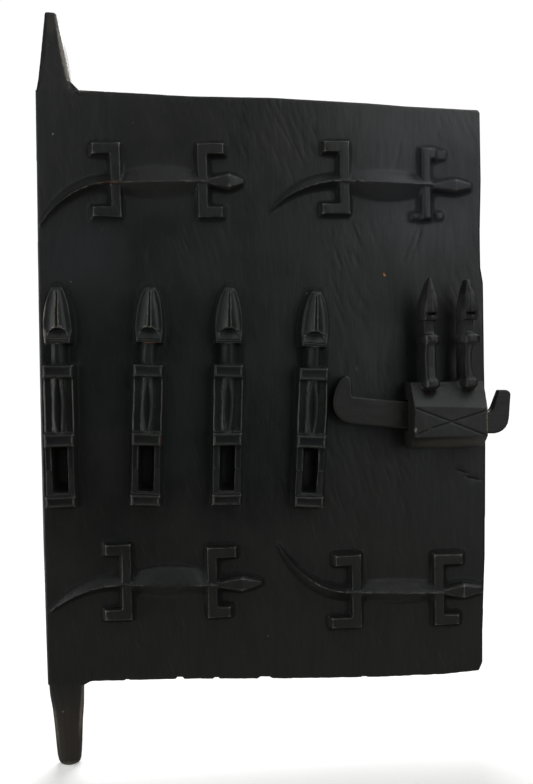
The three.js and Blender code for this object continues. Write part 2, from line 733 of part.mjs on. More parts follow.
function lockBox() {
  const body = without(lockBody(), [
    incisedLine([LOCK_LEFT + 2, FRONT_HIGH - 2.5], [LOCK_RIGHT - 2, FRONT_LOW + 0.5]),
    incisedLine([LOCK_RIGHT - 1.5, FRONT_HIGH - 6.5], [LOCK_LEFT + 19, FRONT_LOW + 9.5]),
    incisedLine([LOCK_LEFT + 13, FRONT_LOW + 7.5], [LOCK_LEFT + 4, FRONT_LOW + 3.5]),
  ]);
  const whole = joined([
    body,
    lockPillar({
      base: { x: 399.5, half: 9.4 },
      waist: { x: 398.4, half: 7.6, pinch: 0.2 },
      ring: { x: 400, half: 10 },
      neck: { x: 398.2, half: 6.8 },
      head: { x: 399.4, half: 9.8, apexX: 400, apexHalf: 0.8, apexZ: 529, slitX: 399.8, slitHalf: 4.6 },
    }),
    lockPillar({
      base: { x: 441.5, half: 8.7 },
      waist: { x: 441, half: 6.4, pinch: 1.9 },
      ring: { x: 443, half: 10 },
      neck: { x: 440.8, half: 6 },
      head: { x: 442.8, half: 8.7, apexX: 440.4, apexHalf: 3.8, apexZ: 526, slitX: 442.2, slitHalf: 5 },
    }),
  ]);
  return without(whole, [boltChannel()]);
}

// The hook's back is hewn thinner towards its tip: this wedge takes the wood away behind it.
function hookThinning() {
  const start = 42;
  const planeDepth = (along, across) => BOLT_BACK + 0.3 * (along - start) + 0.2 * across;
  const points = [];
  for (const [along, across] of [[start, -20], [start, 45], [85, -20], [85, 45]]) {
    points.push(onBolt(along, across, -12), onBolt(along, across, planeDepth(along, across)));
  }
  return hullOf(points);
}

// The bolt: a flat bar with a rounded club turned up at its left end and a hook at its right end.
function lockBolt() {
  const neckHalf = 12;
  const bevel = 1.8;
  const outline = new THREE.Shape();
  outline.moveTo(-100, -BOLT_HALF_HEIGHT);
  outline.lineTo(34, -BOLT_HALF_HEIGHT);
  outline.lineTo(38, -neckHalf);
  outline.lineTo(54, -neckHalf);
  outline.bezierCurveTo(66, -neckHalf, 74.4, -5, 74.3, 7);
  outline.lineTo(73.4, 33);
  outline.quadraticCurveTo(73, 37.5, 67.5, 38.2);
  outline.lineTo(58.2, 37.4);
  outline.lineTo(55.2, 21);
  outline.quadraticCurveTo(54, neckHalf + 0.5, 49, neckHalf);
  outline.lineTo(38, neckHalf);
  outline.lineTo(34, BOLT_HALF_HEIGHT);
  outline.lineTo(-101, BOLT_HALF_HEIGHT);
  outline.quadraticCurveTo(-104, 17, -103.8, 24);
  outline.quadraticCurveTo(-103.5, 36.5, -111.5, 37);
  outline.bezierCurveTo(-120, 34, -123.3, 18, -123.2, 8);
  outline.bezierCurveTo(-123, -6, -113, -BOLT_HALF_HEIGHT, -100, -BOLT_HALF_HEIGHT);
  const geometry = new THREE.ExtrudeGeometry(outline, {
    depth: BOLT_FRONT - BOLT_BACK - 2 * bevel,
    bevelThickness: bevel,
    bevelSize: bevel,
    bevelOffset: -bevel,
    bevelSegments: 2,
    curveSegments: 6,
  });
  geometry.translate(0, 0, BOLT_BACK + bevel);
  geometry.rotateZ(-BOLT_TILT);
  geometry.rotateX(Math.PI / 2);
  geometry.translate(LOCK_MIDDLE_X, FACE_Y, BOLT_CENTRE_Z);
  return without(solidOf(geometry), [hookThinning()]);
}

// The whole door

function doorLeaf() {
  return joined([
    plank(),
    upperPivot(),
    upperPivotStep(),
    lowerPivot(),
    ...FIGURES.map(figure),
    ...LIZARDS.map(lizard),
  ]);
}

const darkWood = new THREE.MeshStandardMaterial({ color: 0x1d1f1f, roughness: 0.5, metalness: 0 });
const lockWood = new THREE.MeshStandardMaterial({ color: 0x222323, roughness: 0.45, metalness: 0 });
const boltWood = new THREE.MeshStandardMaterial({ color: 0x202222, roughness: 0.48, metalness: 0 });

const door = new THREE.Group();
door.add(meshOf(doorLeaf(), 'door_leaf', darkWood));
door.add(meshOf(lockBox(), 'lock_box', lockWood));
door.add(meshOf(lockBolt(), 'lock_bolt', boltWood));

export default door;
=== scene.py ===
# %% [markdown]
# # Finishing a carved granary door
# The door is one thick hewn plank with two pivot pins, four lizards and four standing figures left
# standing in relief, and a wooden lock on its right edge. Its solids come in as a fixed frame: they say
# where every piece is and how big. This lesson adds what a carver's knife, a century of hands and oil,
# and a studio's light add to them.
# Every length is in metres, in the door's own frame: +X to the lock, +Z up along the pins, and the
# carved face looks towards -Y. Places on the face are written in millimetres and multiplied by MM.

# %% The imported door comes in
import itertools
import math

import bpy
import numpy as np
from mathutils import Matrix, Vector


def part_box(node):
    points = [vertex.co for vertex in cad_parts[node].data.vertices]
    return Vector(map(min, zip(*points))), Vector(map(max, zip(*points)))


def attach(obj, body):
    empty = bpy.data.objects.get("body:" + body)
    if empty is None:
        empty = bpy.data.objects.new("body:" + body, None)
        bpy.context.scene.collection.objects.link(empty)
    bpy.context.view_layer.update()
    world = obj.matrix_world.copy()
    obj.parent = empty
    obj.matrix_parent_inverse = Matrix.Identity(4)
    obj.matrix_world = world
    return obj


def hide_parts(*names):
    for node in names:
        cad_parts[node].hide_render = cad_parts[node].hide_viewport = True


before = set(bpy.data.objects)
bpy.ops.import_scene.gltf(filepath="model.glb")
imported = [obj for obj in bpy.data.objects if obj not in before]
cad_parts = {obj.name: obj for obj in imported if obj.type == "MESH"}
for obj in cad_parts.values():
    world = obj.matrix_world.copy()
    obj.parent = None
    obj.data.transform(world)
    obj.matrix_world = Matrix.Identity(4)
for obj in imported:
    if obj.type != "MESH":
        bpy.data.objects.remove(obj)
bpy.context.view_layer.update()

MM = 0.001
for node in sorted(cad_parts):
    low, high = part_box(node)
    print(node, "measures", [round((b - a) / MM) for a, b in zip(low, high)], "mm")

# %% [markdown]
# ## The camera
# The photograph was taken nearly square on, a little to the left of the middle, and slightly tipped.
# A camera could be turned by three angles, but two places are easier to read: where it stands and
# what it looks at, with one small roll round the line between them. The roll comes from how far the
# door leans in the picture: 16 parts in 816.

# %% Camera
CAMERA_PLACE = Vector((153.3, -967, 433)) * MM
CAMERA_AIM = Vector((225.84, -17, 408.56)) * MM
DOOR_LEAN = 16 / 816
CAMERA_ROLL = math.atan(DOOR_LEAN)
CAMERA_LENS = 39.66
CAMERA_REACH = 20


def turned_to(place, aim, roll=0.0):
    """The matrix of something that stands at a place and looks at another, rolled to the right."""
    forward = (aim - place).normalized()
    right = forward.cross(Vector((math.sin(roll), 0, math.cos(roll)))).normalized()
    up = right.cross(forward)
    return Matrix.Translation(place) @ Matrix((right, up, -forward)).transposed().to_4x4()


camera_data = bpy.data.cameras.new("camera")
camera_data.lens = CAMERA_LENS
camera_data.clip_end = CAMERA_REACH
camera = bpy.data.objects.new("camera", camera_data)
camera.matrix_world = turned_to(CAMERA_PLACE, CAMERA_AIM, CAMERA_ROLL)
bpy.context.scene.collection.objects.link(camera)
bpy.context.scene.camera = camera
print("the camera stands", round((CAMERA_AIM - CAMERA_PLACE).length, 3), "m from the door")

# %% [markdown]
# ## Building materials from nodes
# A material is a small circuit of nodes. Short helpers keep the circuits readable. The first adds a
# node and fills its inputs, either with values or with other nodes' outputs. The next two open and place
# a node group, which is a circuit with named inputs and outputs that several materials can share. The
# rest do sums, soft steps and mixes, and start a material.

# %% Node helpers
def add(tree, kind, inputs=None, **settings):
    """Adds a shader node, sets its properties, and fills inputs with values or with sockets."""
    node = tree.nodes.new("ShaderNode" + kind)
    for key, value in settings.items():
        setattr(node, key, value)
    for key, value in (inputs or {}).items():
        if isinstance(value, bpy.types.NodeSocket):
            tree.links.new(value, node.inputs[key])
        else:
            node.inputs[key].default_value = value
    return node


def new_group(name, inputs, outputs):
    """A node group with named sockets; returns the group, its inputs' and its outputs' ends."""
    group = bpy.data.node_groups.new(name, "ShaderNodeTree")
    for label, (kind, value) in inputs.items():
        socket = group.interface.new_socket(label, in_out="INPUT", socket_type="NodeSocket" + kind)
        socket.default_value = value
    for label in outputs:
        group.interface.new_socket(label, in_out="OUTPUT", socket_type="NodeSocketFloat")
    return group, group.nodes.new("NodeGroupInput"), group.nodes.new("NodeGroupOutput")


def use_group(tree, group, inputs):
    """Places a node group in a material, with its own values."""
    return add(tree, "Group", inputs, node_tree=group)


# %% Sums, ramps and mixes
def arithmetic(tree, operation, first, second, third=0.0):
    """One sum in the circuit; returns its result."""
    return add(tree, "Math", {0: first, 1: second, 2: third}, operation=operation).outputs[0]


def ramp(tree, value, start, end):
    """Carries a value that goes from start to end smoothly over to 0 and 1."""
    node = add(tree, "MapRange", {
        "Value": value, "From Min": start, "From Max": end,
    }, interpolation_type="SMOOTHSTEP")
    return node.outputs["Result"]


def blended(tree, share, first, second):
    """Mixes two colours, each a value or a socket, by a share that changes over the surface."""
    node = tree.nodes.new("ShaderNodeMix")
    node.data_type = "RGBA"
    node.clamp_factor = True
    tree.links.new(share, node.inputs["Factor"])
    for name, colour in (("A", first), ("B", second)):
        socket = next(s for s in node.inputs if s.name == name and s.type == "RGBA")
        if isinstance(colour, bpy.types.NodeSocket):
            tree.links.new(colour, socket)
        else:
            socket.default_value = (*colour, 1)
    return next(s for s in node.outputs if s.type == "RGBA")


# %% A new material
def new_material(name):
    """An empty material with a Principled shader; returns the material, its tree and the shader."""
    material = bpy.data.materials.new(name)
    material.use_nodes = True
    tree = material.node_tree
    tree.nodes.clear()
    shader = add(tree, "BsdfPrincipled")
    output = add(tree, "OutputMaterial")
    tree.links.new(shader.outputs[0], output.inputs["Surface"])
    return material, tree, shader


# %% [markdown]
# ## The studio
# A near-black object on white needs its light beside it and above it, not behind the camera: its flat
# faces then stay dark, and every edge that turns to a lamp draws a bright line. So the strongest lamps
# are soft boxes that graze the face from both sides, weaker ones stand half in front, the pale floor
# throws some light up, and one lamp behind lights the floor and the back. A lamp's bearing is counted
# from straight in front, to the right, and its rise from level, both in degrees.
# The floor is a pale disc that fades out before its edge can show. The surroundings are white where
# the camera sees them and dim where the wood mirrors them.

# %% Floor
FLOOR_MIDDLE = (0.22, 0.1, 0)
FLOOR_RADIUS = 2.4
FLOOR_SIDES = 96
FLOOR_FADE_START = 0.55
FLOOR_FADE_END = 1.3
FLOOR_WHITE = (0.9, 0.9, 0.89, 1)
FLOOR_ROUGHNESS = 0.9
FLOOR_GLOW = 0.36
FLOOR_BOUNCE = (1, 0.96, 0.9, 1)
FLOOR_BOUNCE_STRENGTH = 0.25
WHITE = (1, 1, 1, 1)


def pale_floor():
    """A lit white for the camera, a dim warm glow for the wood, and nothing beyond the fade."""
    material, tree, shader = new_material("pale_floor")
    shader.inputs["Base Color"].default_value = FLOOR_WHITE
    shader.inputs["Roughness"].default_value = FLOOR_ROUGHNESS
    shader.inputs["Emission Color"].default_value = WHITE
    shader.inputs["Emission Strength"].default_value = FLOOR_GLOW
    place = add(tree, "TexCoord").outputs["Object"]
    distance = add(tree, "VectorMath", {0: place}, operation="LENGTH").outputs["Value"]
    fade = ramp(tree, distance, FLOOR_FADE_START, FLOOR_FADE_END)
    clear = add(tree, "BsdfTransparent")
    path = add(tree, "LightPath").outputs["Is Camera Ray"]
    dim = add(tree, "Emission", {"Color": FLOOR_BOUNCE, "Strength": FLOOR_BOUNCE_STRENGTH})
    lit = add(tree, "MixShader", {0: path, 1: dim.outputs[0], 2: shader.outputs[0]})
    mixed = add(tree, "MixShader", {0: fade, 1: lit.outputs[0], 2: clear.outputs[0]})
    output = next(n for n in tree.nodes if n.type == "OUTPUT_MATERIAL")
    tree.links.new(mixed.outputs[0], output.inputs["Surface"])
    return material


bpy.ops.mesh.primitive_circle_add(vertices=FLOOR_SIDES, radius=FLOOR_RADIUS, fill_type="NGON")
floor = bpy.context.object
floor.name = "floor"
floor.location = FLOOR_MIDDLE
floor.data.materials.append(pale_floor())
print("the floor fades out between", FLOOR_FADE_START, "and", FLOOR_FADE_END, "m from its middle")

# %% Lamps
DOOR_MIDDLE = Vector((225, -17, 410)) * MM
LAMP_DISTANCE = 1.15
LAMP_SIDE = 0.75
SOFT_BOXES = {
    "left_low_box": {"bearing": -85, "rise": -15, "power": 4.8},
    "left_box": {"bearing": -85, "rise": 15, "power": 1.6},
    "left_top_box": {"bearing": -50, "rise": 72, "power": 0.5},
    "left_front_high_box": {"bearing": -35, "rise": 45, "power": 0.8},
    "left_front_box": {"bearing": -40, "rise": 15, "power": 0.75},
    "right_front_low_box": {"bearing": 35, "rise": -15, "power": 0.5},
    "right_front_box": {"bearing": 35, "rise": 15, "power": 2},
    "right_front_high_box": {"bearing": 35, "rise": 45, "power": 1.3},
    "right_high_box": {"bearing": 85, "rise": 45, "power": 2.7},
    "right_top_box": {"bearing": 85, "rise": 72, "power": 1.5},
}
BACK_BOX_PLACE = Vector((0.25, 1.25, 1.45))
BACK_BOX_SIDE = 1.2
BACK_BOX_POWER = 30


def soft_box(name, place, side, power):
    """A square lamp that faces the door's middle and that the camera doesn't see."""
    data = bpy.data.lights.new(name, "AREA")
    data.shape = "SQUARE"
    data.size = side
    data.energy = power
    lamp = bpy.data.objects.new(name, data)
    lamp.matrix_world = turned_to(place, DOOR_MIDDLE)
    lamp.visible_camera = False
    bpy.context.scene.collection.objects.link(lamp)


def around_door(bearing, rise):
    """A place at the lamps' distance from the door's middle."""
    bearing = math.radians(bearing)
    rise = math.radians(rise)
    level = Vector((math.sin(bearing), -math.cos(bearing), 0)) * math.cos(rise)
    return DOOR_MIDDLE + (level + Vector((0, 0, math.sin(rise)))) * LAMP_DISTANCE


for name, box in SOFT_BOXES.items():
    soft_box(name, around_door(box["bearing"], box["rise"]), LAMP_SIDE, box["power"])
soft_box("back_box", BACK_BOX_PLACE, BACK_BOX_SIDE, BACK_BOX_POWER)
print("the studio has", len(SOFT_BOXES) + 1, "soft boxes")

# %% Surroundings
SURROUNDINGS_SEEN = 1.05
SURROUNDINGS_MIRRORED = 0.005

world = bpy.data.worlds.new("studio")
world.use_nodes = True
world_tree = world.node_tree
world_tree.nodes.clear()
seen = add(world_tree, "Background", {"Color": WHITE, "Strength": SURROUNDINGS_SEEN})
mirrored = add(world_tree, "Background", {"Color": WHITE, "Strength": SURROUNDINGS_MIRRORED})
light_path = add(world_tree, "LightPath")
choice = add(world_tree, "MixShader", {
    0: light_path.outputs["Is Camera Ray"], 1: mirrored.outputs[0], 2: seen.outputs[0],
})
world_output = add(world_tree, "OutputWorld")
world_tree.links.new(choice.outputs[0], world_output.inputs["Surface"])
bpy.context.scene.world = world
bpy.context.scene.view_settings.view_transform = "Standard"
print("the surroundings shine", SURROUNDINGS_SEEN, "to the camera and", SURROUNDINGS_MIRRORED, "to the wood")

# %% [markdown]
# ## From solids to wood that can be carved
# The frame's solids are exact but coarse, with a few large triangles on each face. Subdividing them
# would keep their long thin triangles, so each is rebuilt from small even cells (a voxel remesh), which
# also rounds every edge by about a cell, as handling does. Vertices are then moved by plain arithmetic
# on arrays: fast, repeatable, and in real millimetres.

# %% Fine copies and arrays of points
def applied(piece):
    """Turns a piece's modifiers into its mesh."""
    graph = bpy.context.evaluated_depsgraph_get()
    mesh = bpy.data.meshes.new_from_object(piece.evaluated_get(graph))
    former = piece.data
    piece.modifiers.clear()
    piece.data = mesh
    bpy.data.meshes.remove(former)
    return piece


def fine_copy(node, name, cell):
    """A new piece with a CAD node's shape, made of even cells of that size in millimetres."""
    piece = bpy.data.objects.new(name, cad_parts[node].data.copy())
    bpy.context.scene.collection.objects.link(piece)
    remesh = piece.modifiers.new("remesh", "REMESH")
    remesh.mode = "VOXEL"
    remesh.voxel_size = cell * MM
    return applied(piece)


def read_points(mesh):
    """The vertices' places in millimetres and their normals, as two arrays of rows."""
    places = np.empty(len(mesh.vertices) * 3, np.float32)
    normals = np.empty(len(mesh.vertices) * 3, np.float32)
    mesh.vertices.foreach_get("co", places)
    mesh.vertices.foreach_get("normal", normals)
    return places.reshape(-1, 3).astype(float) / MM, normals.reshape(-1, 3).astype(float)


def write_points(mesh, places):
    """Moves the vertices to places given in millimetres."""
    mesh.vertices.foreach_set("co", (places * MM).astype(np.float32).ravel())
    mesh.update()


def smoothed(piece, repeats):
    """Evens a piece's surface out, which wears its edges round."""
    smooth = piece.modifiers.new("smooth", "SMOOTH")
    smooth.factor = 0.5
    smooth.iterations = repeats
    return applied(piece)


# %% [markdown]
# ## Noise and masks
# Wood that a person has cut is never even, and never random either: it varies smoothly over lumps of
# some size. One helper gives such noise for a whole array of points, from a fixed seed, and another
# raises it to run from 0 to 1. Two more give soft steps and soft bands, the arithmetic form of a mask.

# %% Noise, steps and bands
LATTICE_SIDE = 32
LATTICE_SEED = 11
LATTICE = np.random.default_rng(LATTICE_SEED).uniform(-1, 1, (LATTICE_SIDE,) * 3)
PATTERN_SHIFT = 7.3


def noise(places, lump, shift=0):
    """Smooth noise from -1 to 1 in lumps of (x, y, z) millimetres; a shift gives another pattern."""
    cells = places / np.array(lump) + PATTERN_SHIFT * shift
    base = np.floor(cells).astype(int)
    ease = cells - base
    ease = ease * ease * (3 - 2 * ease)
    total = np.zeros(len(places))
    for corner in itertools.product((0, 1), repeat=3):
        weight = np.prod(np.where(np.array(corner) == 1, ease, 1 - ease), axis=1)
        spot = (base + corner) % LATTICE_SIDE
        total += weight * LATTICE[spot[:, 0], spot[:, 1], spot[:, 2]]
    return total


def raised_noise(places, lump, shift=0):
    """The same noise from 0 to 1, for wear that only ever takes wood away."""
    return 0.5 + 0.5 * noise(places, lump, shift)


def step(value, start, end):
    """Goes smoothly from 0 at start to 1 at end."""
    share = np.clip((value - start) / (end - start), 0, 1)
    return share * share * (3 - 2 * share)


def band(value, low, high, soft):
    """1 between low and high, and smoothly 0 outside them."""
    return step(value, low - soft, low) * (1 - step(value, high, high + soft))


# %% [markdown]
# ## The cuts that show
# The figures were cut with a few strokes each, and these strokes are what the eye reads: the hollow
# cheeks beside the nose, the mouth under it, the lips' lines, the round neck, the body's paired ridges
# and the dished fronts of the bars. A modeller would push these in by hand. Here each is a depth
# to cut down to, in the figure's own frame (across, up from the soles, out of the plank), and a mask
# that says where. Cuts go straight into the wood, along +Y, as a chisel's do.

# %% The figures' own frame
# Each figure's soles are at x and z, it leans to the right by degrees, and ridge_gap is half the gap
# between its body's two ridges.
FACE_Y = -17
FIGURES = [
    {"x": 2.5, "z": 290.5, "lean": 0.2, "ridge_gap": 5.4},
    {"x": 91.7, "z": 289.5, "lean": 2.47, "ridge_gap": 3.2},
    {"x": 178.7, "z": 287.5, "lean": 2.0, "ridge_gap": 3.2},
    {"x": 268, "z": 282.5, "lean": 3.2, "ridge_gap": 3.4},
]


def in_figure(places, figure):
    """Each point's place in a figure's frame: across it, up from its soles, and out of the plank."""
    turn = math.radians(figure["lean"])
    right = places[:, 0] - figure["x"]
    up = places[:, 2] - figure["z"]
    across = right * math.cos(turn) - up * math.sin(turn)
    along = right * math.sin(turn) + up * math.cos(turn)
    return across, along, FACE_Y - places[:, 1]


def cut_down(out, target, where):
    """What stands out of the plank after wood is cut down to a target depth where a mask says so."""
    return out - np.clip(out - target, 0, None) * where


def hollow(value, low, high):
    """1 midway between low and high and 0 at both, round like a gouge's cut."""
    return np.clip(1 - ((2 * value - low - high) / (high - low)) ** 2, 0, 1)


# %% [markdown]
# ## Heads
# A head is a pointed shield with a raised rim. Two hollow cheeks meet in the nose, which has a line down
# its middle, and the mouth is a sloping cut under it, over two fine lines for the lips. All of it is
# worked out from the distance to the figure's middle line, so both sides come from the same sums. The
# heights are millimetres above the soles, and the depths are millimetres in front of the plank.

# %% Heads
CHIN, LIP, MOUTH, NOSE_LOW, CROWN = 175, 181, 190, 191.5, 238.5
HEAD_HALF = 15.6
JAW_NARROWING = 1.6
RIM_WIDTH, RIM_DEPTH = 1.7, 19
NOSE_HALF, NOSE_TAPER = 2, 0.8
NOSE_DEPTH, NOSE_FALL = 25.5, 4.5
BRIDGE_HALF = 1.8
CHEEK_HOLLOW = 2.4
NOSE_GROOVE = 2.2


def head_half(along):
    """Half the width of a figure's pointed head."""
    rise = np.clip((along - MOUTH) / (CROWN + 1.5 - MOUTH), 0, 1)
    jaw = np.clip((MOUTH - along) / (MOUTH - CHIN), 0, 1)
    return HEAD_HALF * (1 - rise ** 2) ** 0.6 - JAW_NARROWING * jaw


def cut_cheeks(side, along, out, front):
    """Hollows the cheeks from the nose to the rim, and draws the line down the nose."""
    rise = np.clip((along - NOSE_LOW) / (CROWN - 8 - NOSE_LOW), 0, 1)
    nose_half = NOSE_HALF - NOSE_TAPER * rise
    nose = NOSE_DEPTH - NOSE_FALL * rise
    rim = np.maximum(head_half(along) - RIM_WIDTH, nose_half + 0.5)
    share = np.clip((side - nose_half) / (rim - nose_half), 0, 1)
    cheek = nose + (RIM_DEPTH - nose) * share - CHEEK_HOLLOW * 4 * share * (1 - share) * (1 - 0.6 * rise)
    beside = step(rim - side, 0, 0.4) * step(side - nose_half, -0.2, 0.3)
    out = cut_down(out, cheek, front * beside * band(along, NOSE_LOW - 1, CROWN - 9, 4))
    bridge = BRIDGE_HALF - NOSE_TAPER * rise
    return out - NOSE_GROOVE * hollow(side, -bridge, bridge) * front * band(along, NOSE_LOW, CROWN - 12, 5)


# %% Mouths and lips
MOUTH_DEPTH, MOUTH_SLOPE = 15.4, 6
MOUTH_HALF, MOUTH_SPREAD = 7.4, 4.2
LIP_LINES = (178.7, 176.4)
LIP_LINE_HALF, LIP_LINE_DEPTH = 1.1, 0.9
LIP_HALF = 11.6


def cut_mouth(side, along, out, front):
    """Slopes the mouth in under the nose's arch, and draws the lines of the lips."""
    fall = np.clip((NOSE_LOW - along) / (NOSE_LOW - LIP), 0, 1)
    under_nose = step(NOSE_LOW - 0.09 * np.clip(side - 2, 0, None) ** 2 - along, 0, 0.8)
    within = step(MOUTH_HALF + MOUTH_SPREAD * fall - side, 0, 0.7)
    mouth = under_nose * within * step(along, LIP - 0.5, LIP + 0.3)
    out = cut_down(out, MOUTH_DEPTH + MOUTH_SLOPE * fall, front * mouth)
    for line in LIP_LINES:
        drawn = hollow(along, line - LIP_LINE_HALF, line + LIP_LINE_HALF)
        out = out - LIP_LINE_DEPTH * drawn * step(LIP_HALF - side, 0, 1) * step(out, 14, 17)
    return out


# %% [markdown]
# ## Bodies
# Three plain bars stand for the feet, the hips and the shoulders, each a little dished. Between hips and
# shoulders run two ridges with a spindle-shaped hollow between them, the neck is a rounded post, and the
# thighs have a shallow groove. Each is one short function that cuts the same array a little further.

# %% Bars
BAR_HALF = 16
FEET, HIPS, SHOULDERS = (0, 12.5), (64.5, 79), (138, 152)
BAR_DISH = 1.5
BAR_EDGE = 2.2


def dish_bars(side, along, out):
    """Hollows the fronts of the three bars, between their edges."""
    for low, high in (FEET, HIPS, SHOULDERS):
        front = step(out, 20, 22) * step(BAR_HALF - 2.6 - side, 0, 1.2)
        out = out - BAR_DISH * hollow(along, low + BAR_EDGE, high - BAR_EDGE) * front
    return out


# %% Trunks
SPINDLE_LOW, SPINDLE_TALL = 82, 54
RIDGE_DEPTH = 23.4
RIDGE_GAP_MOST = 6
RIDGE_DROP = 5.4
TRUNK_DEPTH = 18
TRUNK_HALF = 14.4


def cut_trunk(side, along, out, ridge_gap):
    """Leaves two ridges standing, apart in the middle and closer at the hips and shoulders."""
    trunk = band(along, HIPS[1] + 2.5, SHOULDERS[0] - 2, 1.5)
    spindle = np.sin(np.pi * np.clip((along - SPINDLE_LOW) / SPINDLE_TALL, 0, 1))
    crest = ridge_gap + (RIDGE_GAP_MOST - ridge_gap) * spindle + 0.6 * step(HIPS[1] + 30 - along, 0, 25)
    steep = np.where(side < crest, 0.12, 0.4)
    ridge = RIDGE_DEPTH - steep * (crest - side) ** 2 - RIDGE_DROP * step(side, 7.2, 8.2)
    return cut_down(out, np.maximum(ridge, TRUNK_DEPTH), trunk * step(TRUNK_HALF - side, 0, 1))


# %% Necks and thighs
NECK_DEPTH, NECK_HALF = 20.8, 4
THIGH = (9.2, 14.8)
THIGH_LOW = 41
THIGH_GROOVE = 1.3


def cut_neck(side, along, out):
    """Rounds the neck to a post."""
    neck = band(along, SHOULDERS[1] + 1, CHIN - 1.5, 0.8)
    return cut_down(out, NECK_DEPTH - 0.07 * (NECK_HALF - side) ** 2, neck * step(NECK_HALF - side, 0, 0.5))


def cut_thighs(side, along, out):
    """Draws a shallow groove down each thigh."""
    thigh = band(along, THIGH_LOW, HIPS[0] - 1.5, 1.2) * step(out, 17, 19)
    return out - THIGH_GROOVE * hollow(side, *THIGH) * thigh


# %% A whole figure
# Dirt and painted shade beside each neck, and painted shade over the legs.
NECK_SIDES_DIRT_AND_SHADE = 0.6
LEGS_SHADE = 0.5


def cut_figure(side, along, out, ridge_gap):
    """What stands out of the plank after all of a figure's cuts."""
    front = step(out, 8, 11)
    out = cut_cheeks(side, along, out, front)
    out = cut_mouth(side, along, out, front)
    out = dish_bars(side, along, out)
    out = cut_trunk(side, along, out, ridge_gap)
    out = cut_neck(side, along, out)
    return cut_thighs(side, along, out)


def figure_cuts(places, figure):
    """How deep the carver went at each point of one figure, and how much grime and painted shade it gets."""
    across, along, out = in_figure(places, figure)
    side = np.abs(across)
    left = cut_figure(side, along, out, figure["ridge_gap"])
    near = (side < BAR_HALF + 2) & (along > -3) & (along < CROWN + 4)
    cut = np.where(near, out - left, 0)
    figure_dirt_and_shade = step(cut, 0.2, 1.2) * (1 - step(along, SHOULDERS[1], CHIN))
    neck = band(along, SHOULDERS[1] + 1, CHIN - 1, 1)
    figure_dirt_and_shade += near * neck * np.where(out > 6, NECK_SIDES_DIRT_AND_SHADE, step(out, -0.6, -0.2))
    legs = band(along, FEET[1] + 3, HIPS[0] - 3, 2) * hollow(side, 8, BAR_HALF)
    figure_dirt_and_shade += LEGS_SHADE * near * legs
    return cut, figure_dirt_and_shade


print("a figure is", CROWN, "mm tall and", 2 * BAR_HALF, "mm wide")

# %% [markdown]
# ## Tool marks, chips and scratches
# The plank was hewn with an adze, whose blade leaves shallow cups with low ridges between them. They
# are nearly rubbed flat on the carved side and plain on the back, which nobody was meant to see. Cups
# are modelled as what they are: each point belongs to the nearest stroke, and lies deeper the nearer
# it is to that stroke's middle. Scratches and splits are grooves between two places.

# %% Adze cups
STROKES = 64
STROKE_JITTER = 0.35


def adze_cups(places, wide, tall, turn, seed):
    """A pattern of shallow cups on the face, 1 at the middle of each stroke and 0 at its rim."""
    jitter = np.random.default_rng(seed).uniform(-STROKE_JITTER, STROKE_JITTER, (STROKES, STROKES, 2))
    angle = math.radians(turn)
    u = (places[:, 0] * math.cos(angle) + places[:, 2] * math.sin(angle)) / wide
    v = (places[:, 2] * math.cos(angle) - places[:, 0] * math.sin(angle)) / tall
    nearest = np.full(len(places), np.inf)
    column = np.floor(u).astype(int)
    row = np.floor(v).astype(int)
    for near_column, near_row in itertools.product((-1, 0, 1), repeat=2):
        i = column + near_column
        j = row + near_row
        shift = jitter[i % STROKES, j % STROKES]
        distance = (u - i - 0.5 - shift[:, 0]) ** 2 + (v - j - 0.5 - shift[:, 1]) ** 2
        nearest = np.minimum(nearest, distance)
    return np.clip(1 - nearest * 1.6, 0, 1)


# %% Grooves and scuffs
def groove(places, start, end, half_width):
    """1 along the line between two places (x, z) on the face, and 0 beside it."""
    start = np.array(start, float)
    line = np.array(end, float) - start
    offset = places[:, [0, 2]] - start
    share = np.clip(offset @ line / (line @ line), 0, 1)
    away = np.linalg.norm(offset - share[:, None] * line, axis=1)
    return (1 - step(away, 0, half_width)) * (0.35 + 0.65 * np.sin(np.pi * np.clip(share, 0.05, 0.95)))


def scuffs(places):
    """Soft slanting rubs in patches over the face, 1 where one is deepest."""
    patches = step(noise(places, (55, 90, 65), 14), -0.1, 0.5)
    slant = places.copy()
    slant[:, 0] += 0.35 * places[:, 2]
    return patches * step(noise(slant, (3, 60, 17), 15), 0.1, 0.85)


# %% [markdown]
# ## Where the door is scratched and chipped
# Marks that can be seen one by one are kept where they are: scratches over the figures and the lizards,
# a split near the right edge under the lock, and small chips out of the lower edge. A list of named
# places is enough, with one more row of short strokes made by a loop.

# %% Scratches
SCRATCHES = [
    {"start": (247, 700), "end": (262, 672), "half_width": 2.6, "depth": 0.35},
    {"start": (256, 692), "end": (273, 655), "half_width": 2.2, "depth": 0.3},
    {"start": (29.6, 111), "end": (28, 105.5), "half_width": 1.3, "depth": 0.6},
    {"start": (28, 105.5), "end": (29, 99.5), "half_width": 1.3, "depth": 0.6},
    {"start": (436, 318), "end": (452, 312), "half_width": 1.6, "depth": 0.8},
    {"start": (448, 309), "end": (467, 304), "half_width": 1.8, "depth": 0.9},
    {"start": (24, 738), "end": (31, 731), "half_width": 2.2, "depth": 1.2},
    {"start": (412, 650), "end": (396, 560), "half_width": 4, "depth": 0.22},
    {"start": (384, 700), "end": (372, 640), "half_width": 3.5, "depth": 0.2},
    {"start": (120, 520), "end": (131, 545), "half_width": 2, "depth": 0.15},
    {"start": (98.5, 571), "end": (97, 550), "half_width": 1.4, "depth": 0.35},
    {"start": (400, 597), "end": (381, 551), "half_width": 1.8, "depth": 0.3},
    {"start": (405, 592), "end": (388, 548), "half_width": 1.5, "depth": 0.25},
]
SHORT_STROKES = 6
SCRATCHES += [
    {"start": (108 + 6 * i, 584 - i), "end": (113 + 6.6 * i, 570 - 2 * i), "half_width": 1.4, "depth": 0.25}
    for i in range(SHORT_STROKES)
]
print("the face has", len(SCRATCHES), "scratches and splits")

